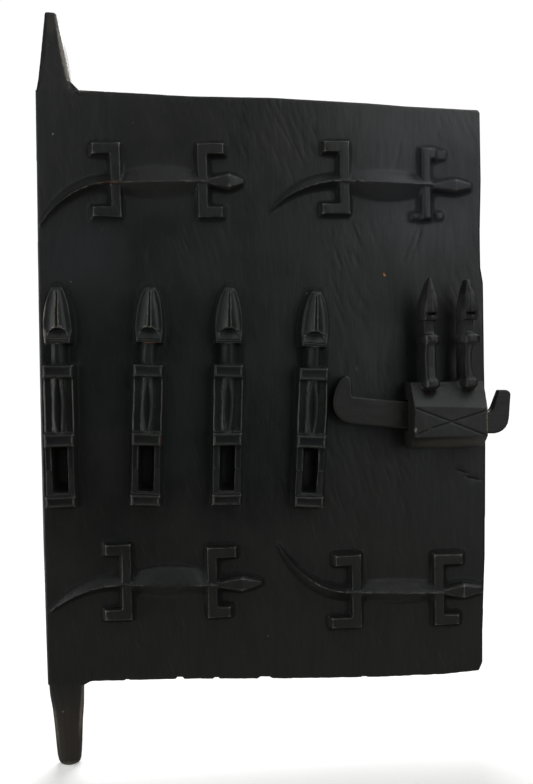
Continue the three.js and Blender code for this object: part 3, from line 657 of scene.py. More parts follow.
# %% Chips
BOTTOM_CHIPS = [
    {"x": 124, "wide": 5, "tall": 2.2},
    {"x": 164, "wide": 4, "tall": 1.5},
    {"x": 218, "wide": 9, "tall": 2.4},
    {"x": 66, "wide": 3, "tall": 0.8},
    {"x": 330, "wide": 4, "tall": 0.8},
]
RAGGED = 0.7


def bottom_chips(places):
    """How far the plank's lower edge is broken away upwards at each point, right of the pin."""
    rise = np.zeros(len(places))
    for chip in BOTTOM_CHIPS:
        away = np.abs(places[:, 0] - chip["x"]) / chip["wide"]
        rise += chip["tall"] * (1 - step(away, 0.5, 1))
    rise += RAGGED * raised_noise(places, (5, 9, 60), 3) ** 2
    return rise * (1 - step(places[:, 2], 94, 104)) * step(places[:, 0], 24, 30)


# %% [markdown]
# ## What stands out and what lies deep
# Hands rub what stands out, and dirt stays in what lies deep; the materials also lighten the first
# with painted highlights and darken the second with painted shade. Blender can say how pointed a mesh
# is, but only from each point to its neighbours. Here each point is compared with where it would lie if
# the surface were evened out, as far as is asked, and the difference is kept on the mesh as the
# attribute "edge", which the materials read.

# %% The edge attribute
def evened_places(piece, repeats):
    """Where a piece's points would lie if its surface were evened out."""
    even = piece.copy()
    even.data = piece.data.copy()
    bpy.context.scene.collection.objects.link(even)
    smoothed(even, repeats)
    places, _ = read_points(even.data)
    bpy.data.objects.remove(even)
    return places


def keep_edges(piece, reach, full, dirt_and_shade=0.0):
    """Stores each point's stand above (+) or below (-) the form around it, as "edge" from -1 to 1.

    Grime and painted shade lower it where the material has to look like a crevice."""
    places, normals = read_points(piece.data)
    around = evened_places(piece, reach)
    stand = ((places - around) * normals).sum(axis=1) / full - dirt_and_shade
    attribute = piece.data.attributes.new("edge", "FLOAT", "POINT")
    attribute.data.foreach_set("value", np.clip(stand, -1, 1).astype(np.float32))
    return stand


# %% Thinning, and staying inside
def thinned(piece, most_triangles):
    """Joins triangles where the surface is plain, down to the number given."""
    count = 2 * len(piece.data.polygons)
    decimate = piece.modifiers.new("decimate", "DECIMATE")
    decimate.ratio = min(1, most_triangles / count)
    applied(piece)
    piece.data.polygons.foreach_set("use_smooth", np.ones(len(piece.data.polygons), bool))
    left = sum(len(polygon.vertices) - 2 for polygon in piece.data.polygons)
    print(piece.name, "went from", count, "to", left, "triangles")
    return piece


def inside_box(places, node):
    """The same points, none of them outside the CAD node's box."""
    low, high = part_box(node)
    return np.clip(places, np.array(low) / MM, np.array(high) / MM)


# %% [markdown]
# ## Soft feet
# A relief doesn't meet its ground in a sharp corner: the knife rounds it, most of all along the lizards'
# smooth bodies. Evening the whole mesh would wear the crisp bars too, so two evened versions of the leaf
# are blended in by masks, a little at every relief's foot and more along the bodies.

# %% Soft feet
# A lizard's body and tail lie between start and end (x, z); its smooth trunk lies between its legs at z.
LIZARD_BODIES = [
    {"start": (-18, 600), "end": (215, 637), "between_legs": (71, 154), "z": 640},
    {"start": (235, 612), "end": (460, 637), "between_legs": (324, 400), "z": 640},
    {"start": (-18, 178), "end": (218, 200), "between_legs": (83, 166), "z": 197},
    {"start": (233, 236), "end": (470, 182), "between_legs": (335, 413), "z": 188},
]
WORN_LEGS = {"x": (392, 434), "z": (592, 688)}
BELOW_BODY, ABOVE_BODY = 22, 24
FOOT_EVENING, BODY_EVENING = 22, 45
LEGS_WORN = 0.35


def soft_bases(leaf, places):
    """Rounds the reliefs' feet out into the plank, widest along the lizards' bodies."""
    out = FACE_Y - places[:, 1]
    low = step(out, 0.05, 0.6) * (1 - step(out, 3, 6))
    places = places + (evened_places(leaf, FOOT_EVENING) - places) * low[:, None]
    wide = np.zeros(len(places))
    for body in LIZARD_BODIES:
        across = band(places[:, 0], body["start"][0], body["end"][0], 4)
        low_z, high_z = sorted((body["start"][1], body["end"][1]))
        wide = np.maximum(wide, across * band(places[:, 2], low_z - BELOW_BODY, high_z + ABOVE_BODY, 4))
    wide *= 1 - step(out, 3, 6)
    worn_away = band(places[:, 0], *WORN_LEGS["x"], 2) * band(places[:, 2], *WORN_LEGS["z"], 2)
    wide = np.maximum(wide, LEGS_WORN * worn_away * step(out, 0.1, 0.5))
    return places + (evened_places(leaf, BODY_EVENING) - places) * wide[:, None]


# %% [markdown]
# ## Dirt and painted shade
# Dark oil and soot stay where no hand or cloth reaches, in the corners at the reliefs' feet, and shade
# falls there too: that thin band just above and below the ground is dirt and painted shade together.
# The ground that the reliefs shelter gets painted shade. It is found by evening the leaf so far out
# that the reliefs flow into the ground: where the ground then lies deep, something tall stands near it.

# %% Dirt and painted shade beside the reliefs
FOOT_DIRT_AND_SHADE = 0.6
SHELTER_SHADE = 1.1
SHELTER_EVENING = 130
TRUNK_REACH = 20


def dirt_and_shade_beside_reliefs(leaf, places, normals):
    """Grime and painted shade at the reliefs' feet, and painted shade on the ground that they shelter."""
    out = FACE_Y - places[:, 1]
    low = band(out, -0.6, 3.5, 0.5) + 0.5 * band(out, 4, 6, 2)
    feet = FOOT_DIRT_AND_SHADE * np.clip(low, 0, 1) * band(-normals[:, 1], -0.2, 0.955, 0.03)
    below = ((evened_places(leaf, SHELTER_EVENING) - places) * normals).sum(axis=1)
    shelter = SHELTER_SHADE * step(below, 0.05, 1.4) * band(out, -0.9, 4, 0.8)
    for body in LIZARD_BODIES:
        trunk = band(places[:, 0], *body["between_legs"], 3)
        trunk *= 1 - step(np.abs(places[:, 2] - body["z"]), TRUNK_REACH - 3, TRUNK_REACH + 3)
        feet *= 1 - 0.9 * trunk
        shelter *= 1 - 0.8 * trunk
    return feet + shelter


# %% [markdown]
# ## Carving the leaf
# All the cuts add up in two arrays: one that goes straight into the wood, and one that goes in along
# each point's own normal, for wear that follows the form. Everything only takes wood away, so the leaf
# never grows out of its solid. The lines a hand has cut also drift a little to the side. The mesh is
# thinned last, so that its triangles gather where there is something to show.

# %% Drift and wear
def hand_drift(places, reach, lump, shift):
    """The small sideways drift of lines that a hand has cut, in lumps of that many millimetres."""
    drift = np.zeros_like(places)
    drift[:, 0] = reach * noise(places, (lump,) * 3, shift)
    drift[:, 2] = reach * noise(places, (lump,) * 3, shift + 1)
    return drift


BROAD_WEAR, FINE_WEAR = 0.32, 0.14
FRONT_CUPS, BACK_CUPS = 0.3, 1.5
RELIEF_WEAR = 0.25
GROUND_NICKS = 0.17
SCUFF_DEPTH = 0.2


def leaf_wear(places, normals, ground):
    """How deep the leaf is worn and hewn at each point, with its ground given as a mask."""
    relief = step(FACE_Y - places[:, 1], 0.8, 3)
    back = step(normals[:, 1], 0.6, 0.95)
    worn = BROAD_WEAR * raised_noise(places, (26, 40, 70))
    worn += FINE_WEAR * raised_noise(places, (9, 12, 26), 1)
    worn += ground * FRONT_CUPS * (1 - adze_cups(places, wide=34, tall=75, turn=8, seed=5))
    worn += relief * RELIEF_WEAR * raised_noise(places, (6, 6, 6), 2)
    worn += back * BACK_CUPS * (1 - adze_cups(places, wide=38, tall=60, turn=12, seed=9))
    worn += ground * GROUND_NICKS * raised_noise(places, (4, 9, 7), 12)
    worn += ground * SCUFF_DEPTH * scuffs(places)
    return worn


# %% The leaf
LEAF_CELL = 0.85
LEAF_TRIANGLES = 196000
LIZARDS_BELOW, LIZARDS_ABOVE = 275, 540
# Less dirt and shade over the lizards, so that their edges carry more wear and painted highlight.
LIZARD_WEAR_AND_HIGHLIGHT = 0.12
CHIP_DEPTH = 0.5


def finished_leaf(leaf, dirt_and_shade):
    """Adds grime and painted shade, less on the lizards' worn and highlit edges, and chips out proud edges.
    """
    places, normals = read_points(leaf.data)
    dirt_and_shade += dirt_and_shade_beside_reliefs(leaf, places, normals)
    lizards = 1 - band(places[:, 2], LIZARDS_BELOW, LIZARDS_ABOVE, 5)
    dirt_and_shade -= LIZARD_WEAR_AND_HIGHLIGHT * lizards * step(FACE_Y - places[:, 1], 3, 5)
    stand = keep_edges(leaf, reach=12, full=0.45, dirt_and_shade=dirt_and_shade)
    chipped = step(stand, 0.3, 0.9) * step(noise(places, (7, 7, 9), 5), 0.35, 0.9) * CHIP_DEPTH
    write_points(leaf.data, inside_box(places - normals * chipped[:, None], "door_leaf"))
    return thinned(leaf, LEAF_TRIANGLES)


def carved_leaf():
    """The leaf as one fine mesh: feet softened, figures cut, marks drawn, and all of it worn."""
    leaf = fine_copy("door_leaf", "carved_leaf", LEAF_CELL)
    places, _ = read_points(leaf.data)
    write_points(leaf.data, soft_bases(leaf, places))
    smoothed(leaf, 1)
    places, normals = read_points(leaf.data)
    out = FACE_Y - places[:, 1]
    front = step(-normals[:, 1], 0.5, 0.9)
    worn = leaf_wear(places, normals, front * (1 - step(out, 0.8, 2)))
    sink = np.zeros(len(places))
    dirt_and_shade = np.zeros(len(places))
    for figure in FIGURES:
        cut, figure_dirt_and_shade = figure_cuts(places, figure)
        sink += cut
        dirt_and_shade += figure_dirt_and_shade
    for scratch in SCRATCHES:
        line = groove(places, scratch["start"], scratch["end"], scratch["half_width"])
        sink += scratch["depth"] * line * front
    places[:, 2] += bottom_chips(places)
    places[:, 1] += sink
    places += hand_drift(places, reach=0.4, lump=16, shift=20) * step(out, 1.5, 5)[:, None]
    places -= normals * worn[:, None]
    write_points(leaf.data, inside_box(places, "door_leaf"))
    return finished_leaf(leaf, dirt_and_shade)


leaf = carved_leaf()

# %% [markdown]
# ## The lock's two figures
# Two small figures stand on the lock's box, cut from the same block. Their heads are pointed, with a
# nose and one straight slit for a mouth, and their fronts are round, worn down most on the left. They
# are so small that rounding does most of the work: a cubic falls away from the middle line to the
# sides, and it stops at the box's slope that the figures stand on.

# %% The lock's figures
LOCK_FIGURES = [
    {"x": 400, "nose_x": 399.8, "apex_x": 400, "apex_z": 529},
    {"x": 442.8, "nose_x": 442.4, "apex_x": 440.6, "apex_z": 526},
]
LOCK_FIGURE_HALF = 10
LOCK_FIGURE_FRONT = 51.5
HEAD_NARROWING = 0.85
DROP_LEFT, DROP_RIGHT = 11, 5
LOCK_BROW = 496
LOCK_SLOPE_TOP = 417
LOCK_SLOPE_FRONT = 33.5
LOCK_SLOPE = 0.745


def rounded_figure(out, up, offset, rise):
    """Rounds a lock figure's front, most on its left, down to the box's slope that it stands on."""
    share = offset / (LOCK_FIGURE_HALF * (1 - HEAD_NARROWING * rise ** 1.3))
    drop = np.where(share < 0, DROP_LEFT, DROP_RIGHT) * np.abs(np.clip(share, -1, 1)) ** 3
    drop = drop * (1 - 0.5 * rise)
    slope = LOCK_SLOPE_FRONT + LOCK_SLOPE * np.clip(LOCK_SLOPE_TOP - up, 0, None)
    near = step(up, 408, 410) * (np.abs(share) < 1.15)
    return cut_down(out, np.maximum(LOCK_FIGURE_FRONT - drop, slope), near)


# %% The noses and mouths of the lock's figures
LOCK_SLIT = (487.8, 489.8)
SLIT_DEPTH = 4
LOCK_NOSE_HALF, LOCK_NOSE_TALL = 4.2, 13
LOCK_CHEEK = 0.6


def lock_figure_cuts(places):
    """How deep the lock's figures are cut: their round fronts, the noses' sides and the mouths."""
    up = places[:, 2]
    out = FACE_Y - places[:, 1]
    left = out
    for figure in LOCK_FIGURES:
        rise = np.clip((up - LOCK_BROW) / (figure["apex_z"] - LOCK_BROW), 0, 1)
        lean = (figure["apex_x"] - figure["x"]) * rise
        left = rounded_figure(left, up, places[:, 0] - figure["x"] - lean, rise)
        side = np.abs(places[:, 0] - figure["nose_x"] - lean)
        nose_half = LOCK_NOSE_HALF * np.clip((LOCK_SLIT[1] + LOCK_NOSE_TALL - up) / LOCK_NOSE_TALL, 0.1, 1)
        beside = step(side - nose_half, -0.3, 0.4) * (1 - step(side - nose_half, 0.8, 2.6))
        front = step(out, 40, 44)
        left = left - LOCK_CHEEK * beside * band(up, LOCK_SLIT[1] + 0.5, LOCK_SLIT[1] + 22, 4) * front
        left = left - SLIT_DEPTH * band(up, *LOCK_SLIT, 0.5) * (1 - step(side, 3.4, 4.6)) * front
    return out - left


# %% The second head's top, and dirt and painted shade
TOP_DRAW = 0.4


def narrowed_top(places):
    """Draws the second figure's blunt head together towards its top."""
    figure = LOCK_FIGURES[1]
    offset = places[:, 0] - figure["apex_x"] - 0.6
    draw = TOP_DRAW * step(places[:, 2], figure["apex_z"] - 20, figure["apex_z"]) * (np.abs(offset) < 14)
    places = places.copy()
    places[:, 0] -= offset * draw
    return places


# Painted shadow on the lock figures' necks under their heads, and dirt and painted shade in their mouths.
LOCK_NECK = (471, 480)
NECK_SHADOW, SLIT_DIRT_AND_SHADE = 0.6, 1.3


def lock_dirt_and_shade(places):
    """Grime and painted shade in the lock figures' mouths, and painted shadow on their necks."""
    up = places[:, 2]
    dirt_and_shade = NECK_SHADOW * band(up, *LOCK_NECK, 1.5)
    for figure in LOCK_FIGURES:
        mouth = 1 - step(np.abs(places[:, 0] - figure["nose_x"]), 6, 7.5)
        dirt_and_shade = dirt_and_shade + SLIT_DIRT_AND_SHADE * mouth * band(up, LOCK_SLIT[0] - 1, LOCK_SLIT[1] + 1, 0.8)
    return dirt_and_shade * step(FACE_Y - places[:, 1], 20, 30)


# %% [markdown]
# ## The lock's box and its bolt
# Both are smoother than the leaf, because they are handled whenever the door is opened. The box is
# worn lightly and its two figures more, first rounded by evening, most at their bodies, and then cut.
# The bolt only gets long, shallow waves.

# %% The lock's box
LOCK_CELL = 0.6
LOCK_TRIANGLES = 120000
FIGURE_BODIES = (424, 452)
FIGURE_EVENING, FIGURE_BODY_EVENING = 20, 50
EDGE_REACH, EDGE_FULL = 10, 0.35
LOCK_WAVES = 0.2
BOX_LUMPS, FIGURE_LUMPS = 0.12, 0.28
BOX_GRAIN, FIGURE_GRAIN = 0.04, 0.16


def rounded_lock(lock, places):
    """The box's points, with those of its two figures evened out."""
    figures = step(places[:, 2], 407, 411)
    bodies = figures * band(places[:, 2], *FIGURE_BODIES, 4)
    rounded = places + (evened_places(lock, FIGURE_EVENING) - places) * figures[:, None]
    return rounded + (evened_places(lock, FIGURE_BODY_EVENING) - rounded) * bodies[:, None]


def carved_lock():
    """The lock's box as one fine mesh, lightly worn, with its figures rounded and cut."""
    lock = fine_copy("lock_box", "carved_lock_box", LOCK_CELL)
    smoothed(lock, 2)
    places, _ = read_points(lock.data)
    write_points(lock.data, narrowed_top(rounded_lock(lock, places)))
    places, normals = read_points(lock.data)
    figures = step(places[:, 2], 405, 415)
    worn = LOCK_WAVES * raised_noise(places, (9, 9, 14), 6)
    worn += (BOX_LUMPS + FIGURE_LUMPS * figures) * raised_noise(places, (5, 5, 6), 7)
    worn += (BOX_GRAIN + FIGURE_GRAIN * figures) * raised_noise(places, (1.5, 6, 16), 8)
    places[:, 1] += lock_figure_cuts(places)
    places += hand_drift(places, reach=0.45, lump=9, shift=22) * figures[:, None]
    write_points(lock.data, inside_box(places - normals * worn[:, None], "lock_box"))
    smoothed(lock, 1)
    places, _ = read_points(lock.data)
    keep_edges(lock, EDGE_REACH, EDGE_FULL, lock_dirt_and_shade(places))
    return thinned(lock, LOCK_TRIANGLES)


lock = carved_lock()

# %% The bolt
BOLT_CELL = 0.6
BOLT_TRIANGLES = 80000
BOLT_WAVES, BOLT_LUMPS = 0.25, 0.12


def carved_bolt():
    """The bolt as one fine mesh, smooth and lightly worn."""
    bolt = fine_copy("lock_bolt", "carved_lock_bolt", BOLT_CELL)
    smoothed(bolt, 2)
    places, normals = read_points(bolt.data)
    worn = BOLT_WAVES * raised_noise(places, (18, 9, 9), 9)
    worn += BOLT_LUMPS * raised_noise(places, (6, 4, 3.5), 10)
    write_points(bolt.data, inside_box(places - normals * worn[:, None], "lock_bolt"))
    keep_edges(bolt, EDGE_REACH, EDGE_FULL)
    return thinned(bolt, BOLT_TRIANGLES)


bolt = carved_bolt()

# %% [markdown]
# ## What all the wood shares
# The same tree, oil and hands made every surface, so four effects are built once as groups: the grain,
# wear with painted highlights and dirt with painted shade by edges, scratches, and single marks at a
# place. Each material places them with values of its own.

# %% Grain group
PORE_FINENESS = 4.5
MOTTLE_FINENESS = 16


def grain_group():
    """Streaks and pores drawn out along the wood, and the broad mottling of its colour."""
    group, start, end = new_group("wood_grain", {
        "Position": ("Vector", (0, 0, 0)), "Fineness": ("Float", 300.0), "Run": ("Vector", (1, 1, 0.06)),
    }, ["Streaks", "Pores", "Mottle"])
    along = add(group, "VectorMath", {0: start.outputs["Position"], 1: start.outputs["Run"]},
                operation="MULTIPLY")
    streaks = add(group, "TexNoise", {
        "Vector": along.outputs[0], "Scale": start.outputs["Fineness"], "Detail": 4, "Roughness": 0.6,
    })
    pores = add(group, "TexNoise", {
        "Vector": along.outputs[0], "Detail": 2, "Roughness": 0.5,
        "Scale": arithmetic(group, "MULTIPLY", start.outputs["Fineness"], PORE_FINENESS),
    })
    mottle = add(group, "TexNoise", {
        "Vector": start.outputs["Position"], "Scale": MOTTLE_FINENESS, "Detail": 5,
    })
    group.links.new(ramp(group, streaks.outputs["Fac"], 0.3, 0.72), end.inputs["Streaks"])
    group.links.new(ramp(group, pores.outputs["Fac"], 0.55, 0.72), end.inputs["Pores"])
    group.links.new(ramp(group, mottle.outputs["Fac"], 0.35, 0.68), end.inputs["Mottle"])
    return group


# %% Edge group
def edge_group():
    """Where hands have worn the wood, with painted highlights, and where grime and painted shade lie, from
    the edge values.
    """
    group, start, end = new_group("worn_highlit_and_shaded_edges", {
        "Edge": ("Float", 0.0), "Position": ("Vector", (0, 0, 0)),
        "Wear Start": ("Float", 0.25), "Wear Full": ("Float", 0.75), "Breakup": ("Float", 0.25),
    }, ["Worn", "Crevice"])
    patchy = add(group, "TexNoise", {"Vector": start.outputs["Position"], "Scale": 260, "Detail": 3})
    uneven = arithmetic(group, "SUBTRACT", patchy.outputs["Fac"], 0.5)
    shifted = arithmetic(group, "MULTIPLY_ADD", uneven, start.outputs["Breakup"], start.outputs["Edge"])
    worn = ramp(group, shifted, start.outputs["Wear Start"], start.outputs["Wear Full"])
    group.links.new(worn, end.inputs["Worn"])
    group.links.new(ramp(group, shifted, -0.15, -0.9), end.inputs["Crevice"])
    return group


# %% Scratch group
def scratch_group():
    """Fine lines, drawn out a little off the upright."""
    group, start, end = new_group("fine_scratches", {
        "Position": ("Vector", (0, 0, 0)), "Tilt": ("Float", 0.3), "Fineness": ("Float", 900.0),
    }, ["Scratches"])
    turned = add(group, "VectorRotate", {
        "Vector": start.outputs["Position"], "Axis": (0, 1, 0), "Angle": start.outputs["Tilt"],
    })
    drawn = add(group, "VectorMath", {0: turned.outputs[0], 1: (1, 1, 0.025)}, operation="MULTIPLY")
    lines = add(group, "TexNoise", {
        "Vector": drawn.outputs[0], "Scale": start.outputs["Fineness"], "Detail": 1,
    })
    group.links.new(ramp(group, lines.outputs["Fac"], 0.66, 0.74), end.inputs["Scratches"])
    return group


# %% Mark group
def mark_group():
    """A soft spot round one place, 1 in its middle and 0 outside its half size."""
    group, start, end = new_group("mark_at_a_place", {
        "Position": ("Vector", (0, 0, 0)), "Place": ("Vector", (0, 0, 0)),
        "Half Size": ("Vector", (0.01, 0.01, 0.01)), "Turn": ("Float", 0.0),
    }, ["Mark"])
    offset = add(group, "VectorMath", {0: start.outputs["Position"], 1: start.outputs["Place"]},
                 operation="SUBTRACT")
    turned = add(group, "VectorRotate", {
        "Vector": offset.outputs[0], "Axis": (0, 1, 0), "Angle": start.outputs["Turn"],
    })
    scaled = add(group, "VectorMath", {0: turned.outputs[0], 1: start.outputs["Half Size"]},
                 operation="DIVIDE")
    away = add(group, "VectorMath", {0: scaled.outputs[0]}, operation="LENGTH").outputs["Value"]
    group.links.new(ramp(group, away, 1.15, 0.45), end.inputs["Mark"])
    return group


GRAIN = grain_group()
EDGES = edge_group()
SCRATCH = scratch_group()
MARK = mark_group()
print("four shared effects are ready")

# %% [markdown]
# ## The oiled wood
# Near-black wood isn't black: oil and soot sit on brown wood, so grain shows as slightly lighter
# streaks, handled edges go grey or brown and are lightened further as painted highlights, and the
# deepest corners go darker still, with dirt and painted shade. What makes it look like wood is mostly
# its sheen, so the roughness varies with the same effects as the colour. Small marks that can be named
# are placed one by one, some of them painted light and shade.

# %% Colours of wear, dirt, and painted light and shade
FRESH = (0.62, 0.22, 0.04)
RED_WEAR = (0.13, 0.047, 0.02)
PALE = (0.42, 0.36, 0.28)
WARM = (0.045, 0.033, 0.026)
# Painted shade: a near-black laid over parts that the lamps light too much.
PAINTED_SHADE_BLACK = (0.003, 0.0032, 0.0032)
# Painted light from below, for a slope that faces the floor.
PAINTED_UPLIGHT = (0.085, 0.08, 0.067)
# Painted sheen: a lighter grey where the upper right lamps shine on the plank.
PAINTED_SHEEN_GREY = (0.055, 0.055, 0.058)
# Painted light, for a side that a neighbour shades.
PAINTED_SIDE_LIGHT = (0.17, 0.168, 0.17)
GREENISH = (0.009, 0.0165, 0.0145)
BLUISH = (0.024, 0.024, 0.031)

# %% Single marks
MARK_SHAKE = (0.004, 0.004, 0.004)
MARK_SHAKE_FINENESS = 420


def place_marks(tree, colour, position, marks):
    """Lays single marks over a colour, each an uneven ellipse at its own place."""
    shake = add(tree, "TexNoise", {"Vector": position, "Scale": MARK_SHAKE_FINENESS, "Detail": 2})
    centred = add(tree, "VectorMath", {0: shake.outputs["Color"], 1: (0.5, 0.5, 0.5)}, operation="SUBTRACT")
    moved = add(tree, "VectorMath", {0: centred.outputs[0], 1: MARK_SHAKE, 2: position},
                operation="MULTIPLY_ADD")
    for mark in marks:
        spot = use_group(tree, MARK, {
            "Position": moved.outputs[0], "Place": Vector(mark["at"]) * MM,
            "Half Size": Vector(mark["half"]) * MM, "Turn": math.radians(mark.get("turn", 0)),
        })
        share = arithmetic(tree, "MULTIPLY", spot.outputs["Mark"], mark.get("share", 1.0))
        colour = blended(tree, share, colour, mark["colour"])
    return colour


# %% Oiled wood
SHEEN_TINT = (0.94, 1, 0.98, 1)
WEAR_START, WEAR_FULL = 0.25, 0.75
BROWNING = (1.9, 1.6, 1.5)
# Crevices go darker with grime and painted shade, and worn edges lighter with wear and painted highlight.
CREVICE_TONE = 0.15
BROWN_SHARE, SCRATCH_SHARE, WORN_AND_HIGHLIGHT_SHARE, CREVICE_SHARE = 0.35, 0.1, 0.8, 0.85
MOTTLE_ROUGHER, CREVICE_ROUGHER = 0.16, 0.35
STREAKS_SMOOTHER, WORN_SMOOTHER = -0.07, -0.15
PORES_SINK, SCRATCHES_SINK = -0.5, -0.6
BUMP_HEIGHT = 0.0004


def wood_colour(tree, grain, edges, scratches, dark, light, worn):
    """The wood's colour: streaks first, and then one layer after another, each with its share."""
    colour = blended(tree, grain.outputs["Streaks"], dark, light)
    layers = (
        (grain.outputs["Mottle"], BROWN_SHARE, [tone * more for tone, more in zip(dark, BROWNING)]),
        (scratches, SCRATCH_SHARE, worn),
        # Worn edges are wear lightened further as a painted highlight; crevices are grime darkened as
        # painted shade.
        (edges.outputs["Worn"], WORN_AND_HIGHLIGHT_SHARE, worn),
        (edges.outputs["Crevice"], CREVICE_SHARE, [tone * CREVICE_TONE for tone in dark]),
    )
    for effect, share, tint in layers:
        colour = blended(tree, arithmetic(tree, "MULTIPLY", effect, share), colour, tint)
    return colour


def wood_roughness(tree, grain, edges, rough):
    """Mottling and the dark crevices make the oiled wood duller, and streaks and worn edges shine more."""
    changes = (
        (grain.outputs["Mottle"], MOTTLE_ROUGHER), (grain.outputs["Streaks"], STREAKS_SMOOTHER),
        (edges.outputs["Worn"], WORN_SMOOTHER), (edges.outputs["Crevice"], CREVICE_ROUGHER),
    )
    for effect, change in changes:
        rough = arithmetic(tree, "MULTIPLY_ADD", effect, change, rough)
    return rough


def oiled_wood(name, dark, light, worn, rough, fineness, run, marks, bump):
    """One wood; run says how much the grain is squeezed along each axis, least along the wood."""
    material, tree, shader = new_material(name)
    position = add(tree, "TexCoord").outputs["Object"]
    edge = add(tree, "Attribute", attribute_name="edge").outputs["Fac"]
    grain = use_group(tree, GRAIN, {"Position": position, "Fineness": fineness, "Run": run})
    edges = use_group(tree, EDGES, {
        "Edge": edge, "Position": position, "Wear Start": WEAR_START, "Wear Full": WEAR_FULL,
    })
    scratches = use_group(tree, SCRATCH, {"Position": position}).outputs["Scratches"]
    colour = wood_colour(tree, grain, edges, scratches, dark, light, worn)
    tree.links.new(place_marks(tree, colour, position, marks), shader.inputs["Base Color"])
    tree.links.new(wood_roughness(tree, grain, edges, rough), shader.inputs["Roughness"])
    shader.inputs["Specular Tint"].default_value = SHEEN_TINT
    relief = arithmetic(tree, "MULTIPLY_ADD", grain.outputs["Pores"], PORES_SINK, grain.outputs["Streaks"])
    relief = arithmetic(tree, "MULTIPLY_ADD", scratches, SCRATCHES_SINK, relief)
    bumps = add(tree, "Bump", {"Height": relief, "Strength": bump, "Distance": BUMP_HEIGHT})
    tree.links.new(bumps.outputs[0], shader.inputs["Normal"])
    print(name, "carries", len(marks), "single marks")
    return material


# %% [markdown]
# ## The leaf's marks and its wood
# Each mark has its place, its half size on the three axes in millimetres, a colour and the share of it
# that covers the wood: broad tints of oil and dust, two of them also a painted sheen, reddish wood where
# an edge was rubbed, pale specks where the surface is broken, pale borders that are painted highlights,
# and painted shade on a lizard's back.

# %% The leaf's marks
LEAF_MARKS = [
    # Tints over broad parts of the plank; the bluish and grey ones at the upper right also lighten it as a
    # painted sheen.
    {"at": (205, -17, 470), "half": (230, 40, 190), "colour": GREENISH, "share": 0.6},
    {"at": (420, -17, 640), "half": (110, 40, 110), "colour": BLUISH, "share": 0.7},
    {"at": (30, -17, 560), "half": (60, 40, 50), "colour": BLUISH, "share": 0.35},
    {"at": (420, -17, 725), "half": (130, 40, 60), "colour": PAINTED_SHEEN_GREY, "share": 0.5},
    # A fresh fleck, and reddish wear on proud edges.
    {"at": (359.9, -17, 535.8), "half": (1.2, 3, 2.6), "turn": 20, "colour": FRESH},
    {"at": (58, -29, 637), "half": (24, 3, 1.6), "colour": RED_WEAR, "share": 0.8},
    {"at": (321, -29, 640.6), "half": (12, 3, 1.6), "colour": RED_WEAR, "share": 0.7},
    {"at": (389.8, -28, 638.2), "half": (5, 3, 1.6), "colour": RED_WEAR, "share": 0.7},
    {"at": (78.3, -41, 361), "half": (1.1, 3, 6), "colour": RED_WEAR, "share": 0.8},
    {"at": (110.2, -41, 360.5), "half": (1.1, 3, 6), "colour": RED_WEAR, "share": 0.7},
    {"at": (101, -38, 464.6), "half": (13, 4, 0.7), "colour": RED_WEAR},
    # The first figure's head's worn left edge, lightened as a painted highlight, and painted shade on the
    # lower left lizard's back.
    {"at": (-11.8, -35, 470), "half": (4, 7, 14), "colour": PALE, "share": 0.7},
    {"at": (-11, -35, 500), "half": (2.6, 7, 18), "turn": -8, "colour": PALE, "share": 0.5},
    {"at": (124, -22, 205), "half": (50, 10, 15), "colour": PAINTED_SHADE_BLACK, "share": 0.8},
    # The upper pin: a warm tip, pale sides that are painted highlights, and a fresh speck.
    {"at": (1, -10, 812), "half": (6, 8, 14), "colour": WARM, "share": 0.8},
    {"at": (13.5, -8, 782), "half": (4.2, 14, 48), "turn": 9.2, "colour": PALE, "share": 0.45},
    {"at": (-13, -12, 775), "half": (2.2, 10, 46), "turn": -9.2, "colour": PALE, "share": 0.2},
    {"at": (-2.6, -15, 787.5), "half": (1.5, 4, 1.8), "colour": FRESH, "share": 0.4},
    # Pale specks on the plank, and a rub by the upper pin.
    {"at": (1.1, -17, 691), "half": (1.2, 3, 1.2), "colour": PALE, "share": 0.5},
    {"at": (86.6, -17, 702.9), "half": (1, 3, 1), "colour": PALE, "share": 0.35},
    {"at": (16.2, -17, 532.1), "half": (1, 3, 1), "colour": PALE, "share": 0.6},
    {"at": (272.8, -17, 517), "half": (1, 3, 1), "colour": PALE, "share": 0.5},
    {"at": (222.2, -17, 137.3), "half": (1.3, 3, 1), "colour": PALE, "share": 0.35},
    {"at": (34, -17, 737.6), "half": (10, 4, 1.3), "colour": PALE, "share": 0.5},
    # The lower pin: warm brown, with a pale end, pale sides that are painted highlights, and a speck.
    {"at": (0, 0, 40), "half": (24, 30, 62), "colour": WARM, "share": 0.8},
    {"at": (0, 0, 3), "half": (10, 14, 5), "colour": PALE, "share": 0.4},
    {"at": (14, -3, 62), "half": (2, 10, 36), "turn": -5.2, "colour": PALE, "share": 0.5},
    {"at": (-13, -3, 52), "half": (1.8, 10, 38), "turn": 5.2, "colour": PALE, "share": 0.4},
    {"at": (-4.7, -14.5, 62.8), "half": (1.2, 3, 1.2), "colour": PALE, "share": 0.6},
]
# The leaf's worn colour is light, so that its proud edges carry a painted highlight as well as wear.
leaf_wood = oiled_wood(
    "leaf_wood", dark=(0.0095, 0.01, 0.0097), light=(0.0155, 0.0159, 0.0152), worn=(0.2, 0.185, 0.165),
    rough=0.41, fineness=260, run=(1, 1, 0.12), marks=LEAF_MARKS, bump=0.16,
)

# %% [markdown]
# ## The lock's wood
# The box and its bolt are handled every day, so they are smoother and a little greyer than the leaf,
# and the bolt's grain runs along it. They use the same function with other values.

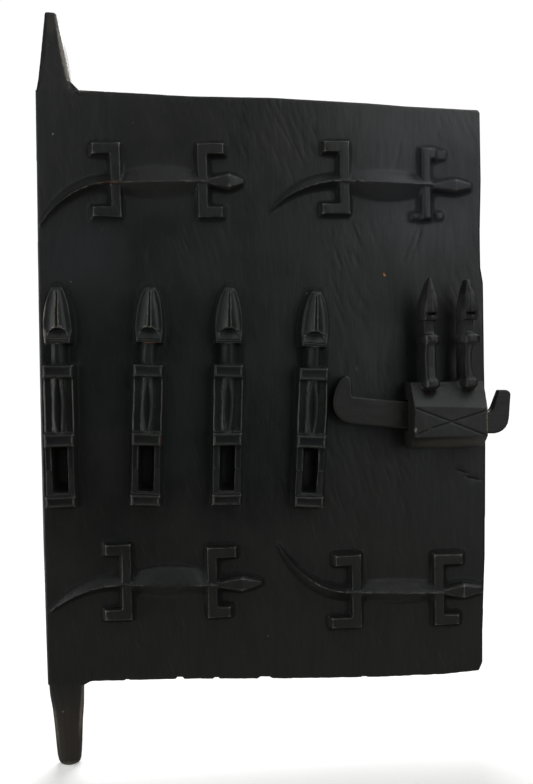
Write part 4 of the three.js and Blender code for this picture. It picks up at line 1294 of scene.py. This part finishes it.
# %% Lock and bolt wood
LOCK_MARKS = [
    # Painted light on the lower slope, which faces down, and on the second figure's shaded left side, and
    # painted shade on the upper slope.
    {"at": (418, -58, 349), "half": (48, 16, 9), "colour": PAINTED_UPLIGHT, "share": 0.8},
    {"at": (432, -42, 470), "half": (5.5, 32, 70), "colour": PAINTED_SIDE_LIGHT, "share": 0.85},
    {"at": (418, -55, 402), "half": (50, 16, 12), "colour": PAINTED_SHADE_BLACK, "share": 0.5},
    # The worn right edge of the front, lightened as a painted highlight, and broken corners at its lower
    # left.
    {"at": (457.6, -67, 377), "half": (1.6, 5, 22), "colour": PALE, "share": 0.4},
    {"at": (379.5, -68, 366.3), "half": (1.8, 4, 2.4), "colour": PALE, "share": 0.6},
    {"at": (388.4, -68.5, 366.1), "half": (2, 3, 1.6), "colour": WARM, "share": 0.9},
    # Reddish nicks at the figures' feet.
    {"at": (400.8, -57, 405.8), "half": (1.4, 4, 1), "colour": RED_WEAR},
    {"at": (437, -57, 405), "half": (1.4, 4, 1), "colour": RED_WEAR},
]
lock_wood = oiled_wood(
    "lock_wood", dark=(0.012, 0.0122, 0.012), light=(0.019, 0.019, 0.0185), worn=(0.085, 0.076, 0.066),
    rough=0.42, fineness=420, run=(1, 1, 0.06), marks=LOCK_MARKS, bump=0.12,
)
bolt_wood = oiled_wood(
    "bolt_wood", dark=(0.011, 0.0112, 0.0108), light=(0.018, 0.018, 0.0165), worn=(0.07, 0.06, 0.05),
    rough=0.4, fineness=420, run=(0.06, 1, 1), marks=[], bump=0.12,
)

# %% [markdown]
# ## Every piece on its body
# A carved piece stands for its solid, takes its own wood, and rides on its body, so that the bolt
# slides when the lock is worked and everything else stays with the leaf.

# %% Riding
RIDES = [
    (leaf, "door_leaf", "door", "dark_wood", leaf_wood),
    (lock, "lock_box", "door", "lock_wood", lock_wood),
    (bolt, "lock_bolt", "bolt", "bolt_wood", bolt_wood),
]
for piece, node, body, slot, wood in RIDES:
    piece.data.materials.clear()
    piece.data.materials.append(wood)
    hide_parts(node)
    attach(piece, body)
    print(piece.name, "stands for", node, "and rides on", body)
